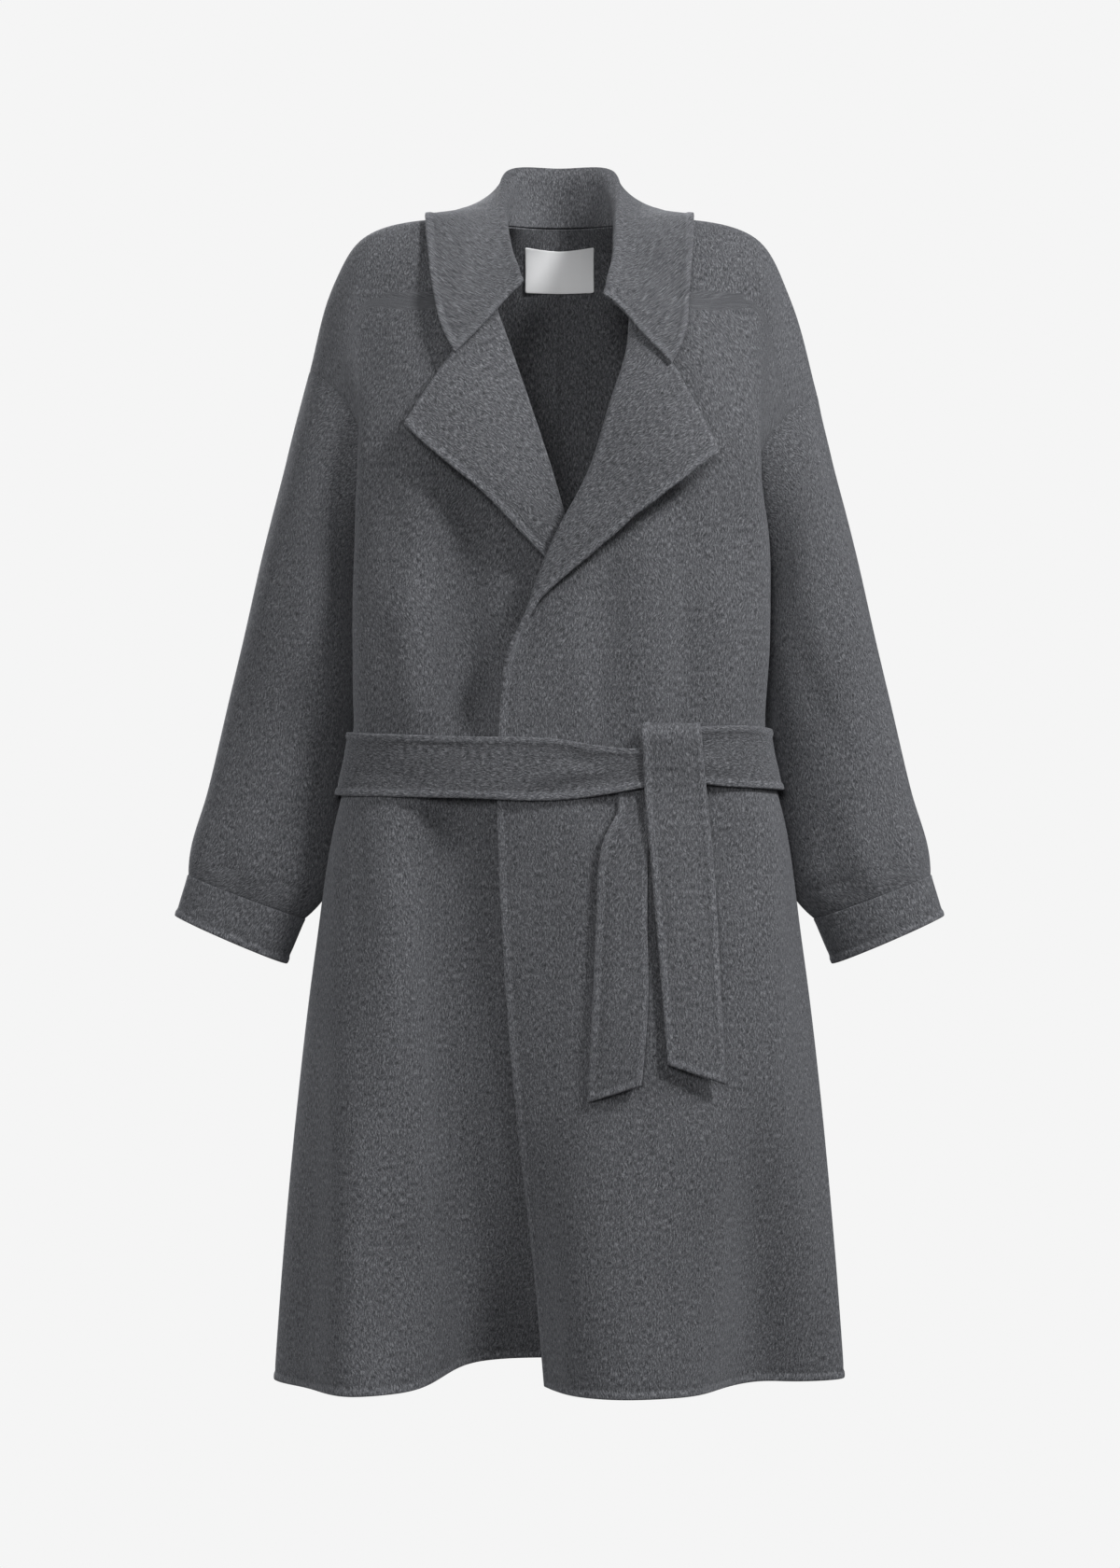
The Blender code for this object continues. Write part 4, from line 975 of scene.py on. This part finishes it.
TAILS = (
    ("belt_tail_front", FRONT_TAIL, FRONT_TAIL_SLANT, FRONT_TAIL_CROWN, (0.066, 0.37)),
    ("belt_tail_back", BACK_TAIL, BACK_TAIL_SLANT, BACK_TAIL_CROWN, (0.066, 0.31)),
)
for name, table, slant, crown, tail_flat in TAILS:
    last = len(table) - 1
    foot_step = (table[-2][2] - table[-1][2]) * MM
    foot = last - EDGE_STEPS[::-1] / foot_step
    positions = np.concatenate([np.linspace(0, foot[0], 46)[:-1], foot])
    tail = tail_sheet(table, slant, positions, shares, crown)
    nearest = np.minimum(from_both(tail, 1), from_last(tail, 0))
    piece = cloth_piece(name, tail, BELT_WALL, wool, edge_thickness(nearest) * BELT_EDGE_SHARE)
    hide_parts(name)


# -------------------------------------------------------------------------------------------- the label
# A small satin-woven label inside the back of the neck, with its ends folded under, held by a few
# stitches across the centre seam. It is bare.

LABEL_WALL = 0.8 * MM
LABEL_GAP = 0.7 * MM
LABEL_HALF_WIDTH = 36 * MM
LABEL_TOP = -19 * MM
LABEL_BOTTOM = -62 * MM
LABEL_BOW = 1.6 * MM
# The label is one layer of satin, but for its ends, which are folded under.
SINGLE_LAYER_SHARE = 0.6


def label_finish():
    """White satin: fine weft lines across the label, nearly smooth, with a soft gloss."""
    finish = bpy.data.materials.new("label satin")
    finish.use_nodes = True
    tree = finish.node_tree
    shader = tree.nodes["Principled BSDF"]
    shader.inputs["Roughness"].default_value = 0.45
    shader.inputs["Specular IOR Level"].default_value = 0.4
    place = linked(tree, "ShaderNodeUVMap", {"uv_map": "cloth"})
    weft = linked(tree, "ShaderNodeTexWave", {"wave_type": "BANDS", "bands_direction": "Y"},
                  Vector=place.outputs["UV"], Scale=420.0, Distortion=0.6, Detail=1.0)
    threads = linked(tree, "ShaderNodeTexNoise", Vector=place.outputs["UV"], Scale=900.0, Detail=2.0)
    tone = linked(tree, "ShaderNodeMath", {"operation": "MULTIPLY_ADD"}, _0=weft.outputs["Fac"], _1=0.4,
                  _2=threads.outputs["Fac"])
    colour = linked(tree, "ShaderNodeMix", {"data_type": "RGBA"}, _0=tone.outputs[0],
                    _6=(0.90, 0.91, 0.925, 1), _7=(0.96, 0.965, 0.975, 1))
    relief = linked(tree, "ShaderNodeBump", Height=tone.outputs[0], Strength=0.35, Distance=0.0002)
    tree.links.new(colour.outputs[2], shader.inputs["Base Color"])
    tree.links.new(relief.outputs["Normal"], shader.inputs["Normal"])
    return finish


# The label takes its form from the right half of the back, whose uppermost rows alone reach its heights.
back = sheets["right"]["back"]
upper_rows = np.arange(len(back))[-24:]
low, high = np.interp((LABEL_BOTTOM, LABEL_TOP), back[-24:, 0, 2], upper_rows)
widths = back[int(low) + 2, :, 0]
edge_column = np.interp(LABEL_HALF_WIDTH, widths, np.arange(len(widths)))
inside = back + face_normals(back) * (WALL / 2 + LABEL_GAP + LABEL_WALL / 2)
inside[:, 0, 0] = 0
half = read_between(inside, np.linspace(low, high, 15))
half = read_between(np.swapaxes(half, 0, 1), np.linspace(0, edge_column, 13))
half = np.swapaxes(half, 0, 1)
label = np.concatenate([half[:, ::-1], half[:, 1:] * (-1, 1, 1)], axis=1)
bow_across = np.linspace(-1, 1, label.shape[1])[None, :]
bow_up = np.linspace(1, 0, label.shape[0])[:, None]
label[..., 1] -= LABEL_BOW * bow_up**2 * bow_across**2
folded_ends = 1 + 0.6 * (np.abs(bow_across) > 0.9) * np.ones((label.shape[0], 1))
piece = cloth_piece("label", label, LABEL_WALL * SINGLE_LAYER_SHARE, label_finish(), folded_ends)
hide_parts("label")


# ------------------------------------------------------------------------------------- floor, light, view
# A plain pale floor that runs out to a pale surround, soft lights, the strongest in front high on the
# viewer's right, and a camera square to the front at the height of the coat's middle.

PALE = (0.913, 0.913, 0.913, 1)
SURROUND_LIGHT = 0.09
FLOOR_HEIGHT = -1.62
FLOOR_REACH = 30.0
LIGHTS = (
    # name, place, target, size, watts
    ("key", (2.6, -2.7, 2.5), (0, 0, -0.4), 0.9, 168),
    ("side", (2.4, -0.8, 1.2), (0, 0, -0.2), 0.8, 30),
    ("left", (-3.4, -1.6, 0.0), (0, 0, -0.5), 1.2, 34),
    ("front", (-0.4, -5.0, 0.5), (0, 0, -0.5), 1.2, 88),
    ("back", (-1.6, 3.6, 2.0), (0, 0, -0.5), 2.0, 170),
)
EYE_PLACE = (0.0005, -4.0, -0.571)
EYE_LENS = 90.5


def pale_light(tree, kind, lit):
    """The surround's shader: pale to the camera, and weaker where it lights the coat."""
    path = linked(tree, "ShaderNodeLightPath")
    strength = linked(tree, "ShaderNodeMapRange", Value=path.outputs["Is Camera Ray"], To_Min=lit, To_Max=1.0)
    return linked(tree, kind, Color=PALE, Strength=strength.outputs[0])


scene = bpy.context.scene
world = bpy.data.worlds.new("surround")
scene.world = world
world.use_nodes = True
world.node_tree.nodes.clear()
sky = pale_light(world.node_tree, "ShaderNodeBackground", SURROUND_LIGHT)
end = world.node_tree.nodes.new("ShaderNodeOutputWorld")
world.node_tree.links.new(sky.outputs[0], end.inputs["Surface"])

floor_mesh = bpy.data.meshes.new("floor")
floor_signs = ((-1, -1), (1, -1), (1, 1), (-1, 1))
floor_corners = [(x * FLOOR_REACH, y * FLOOR_REACH, FLOOR_HEIGHT) for x, y in floor_signs]
floor_mesh.from_pydata(floor_corners, [], [(0, 1, 2, 3)])
floor = bpy.data.objects.new("floor", floor_mesh)
scene.collection.objects.link(floor)
floor_finish = bpy.data.materials.new("pale floor")
floor_finish.use_nodes = True
floor_finish.node_tree.nodes.clear()
glow = pale_light(floor_finish.node_tree, "ShaderNodeEmission", SURROUND_LIGHT)
end = floor_finish.node_tree.nodes.new("ShaderNodeOutputMaterial")
floor_finish.node_tree.links.new(glow.outputs[0], end.inputs["Surface"])
floor_mesh.materials.append(floor_finish)


def soft_light(name, place, target, size, power):
    """A square area light at a place, turned towards a target."""
    lamp = bpy.data.lights.new(name, "AREA")
    lamp.size = size
    lamp.energy = power
    holder = bpy.data.objects.new(name, lamp)
    holder.location = place
    aim = np.array(target) - np.array(place)
    flat = np.hypot(aim[0], aim[1])
    holder.rotation_euler = (np.pi / 2 - np.arctan2(-aim[2], flat), 0, np.arctan2(-aim[0], aim[1]))
    scene.collection.objects.link(holder)


for name, place, target, size, power in LIGHTS:
    soft_light(name, place, target, size, power)

eye = bpy.data.cameras.new("eye")
eye.lens = EYE_LENS
eye.sensor_width = 36
eye.clip_start = 0.1
eye.clip_end = 200
viewer = bpy.data.objects.new("eye", eye)
viewer.location = EYE_PLACE
viewer.rotation_euler = (np.pi / 2, 0, 0)
scene.collection.objects.link(viewer)
scene.camera = viewer
scene.view_settings.view_transform = "Standard"
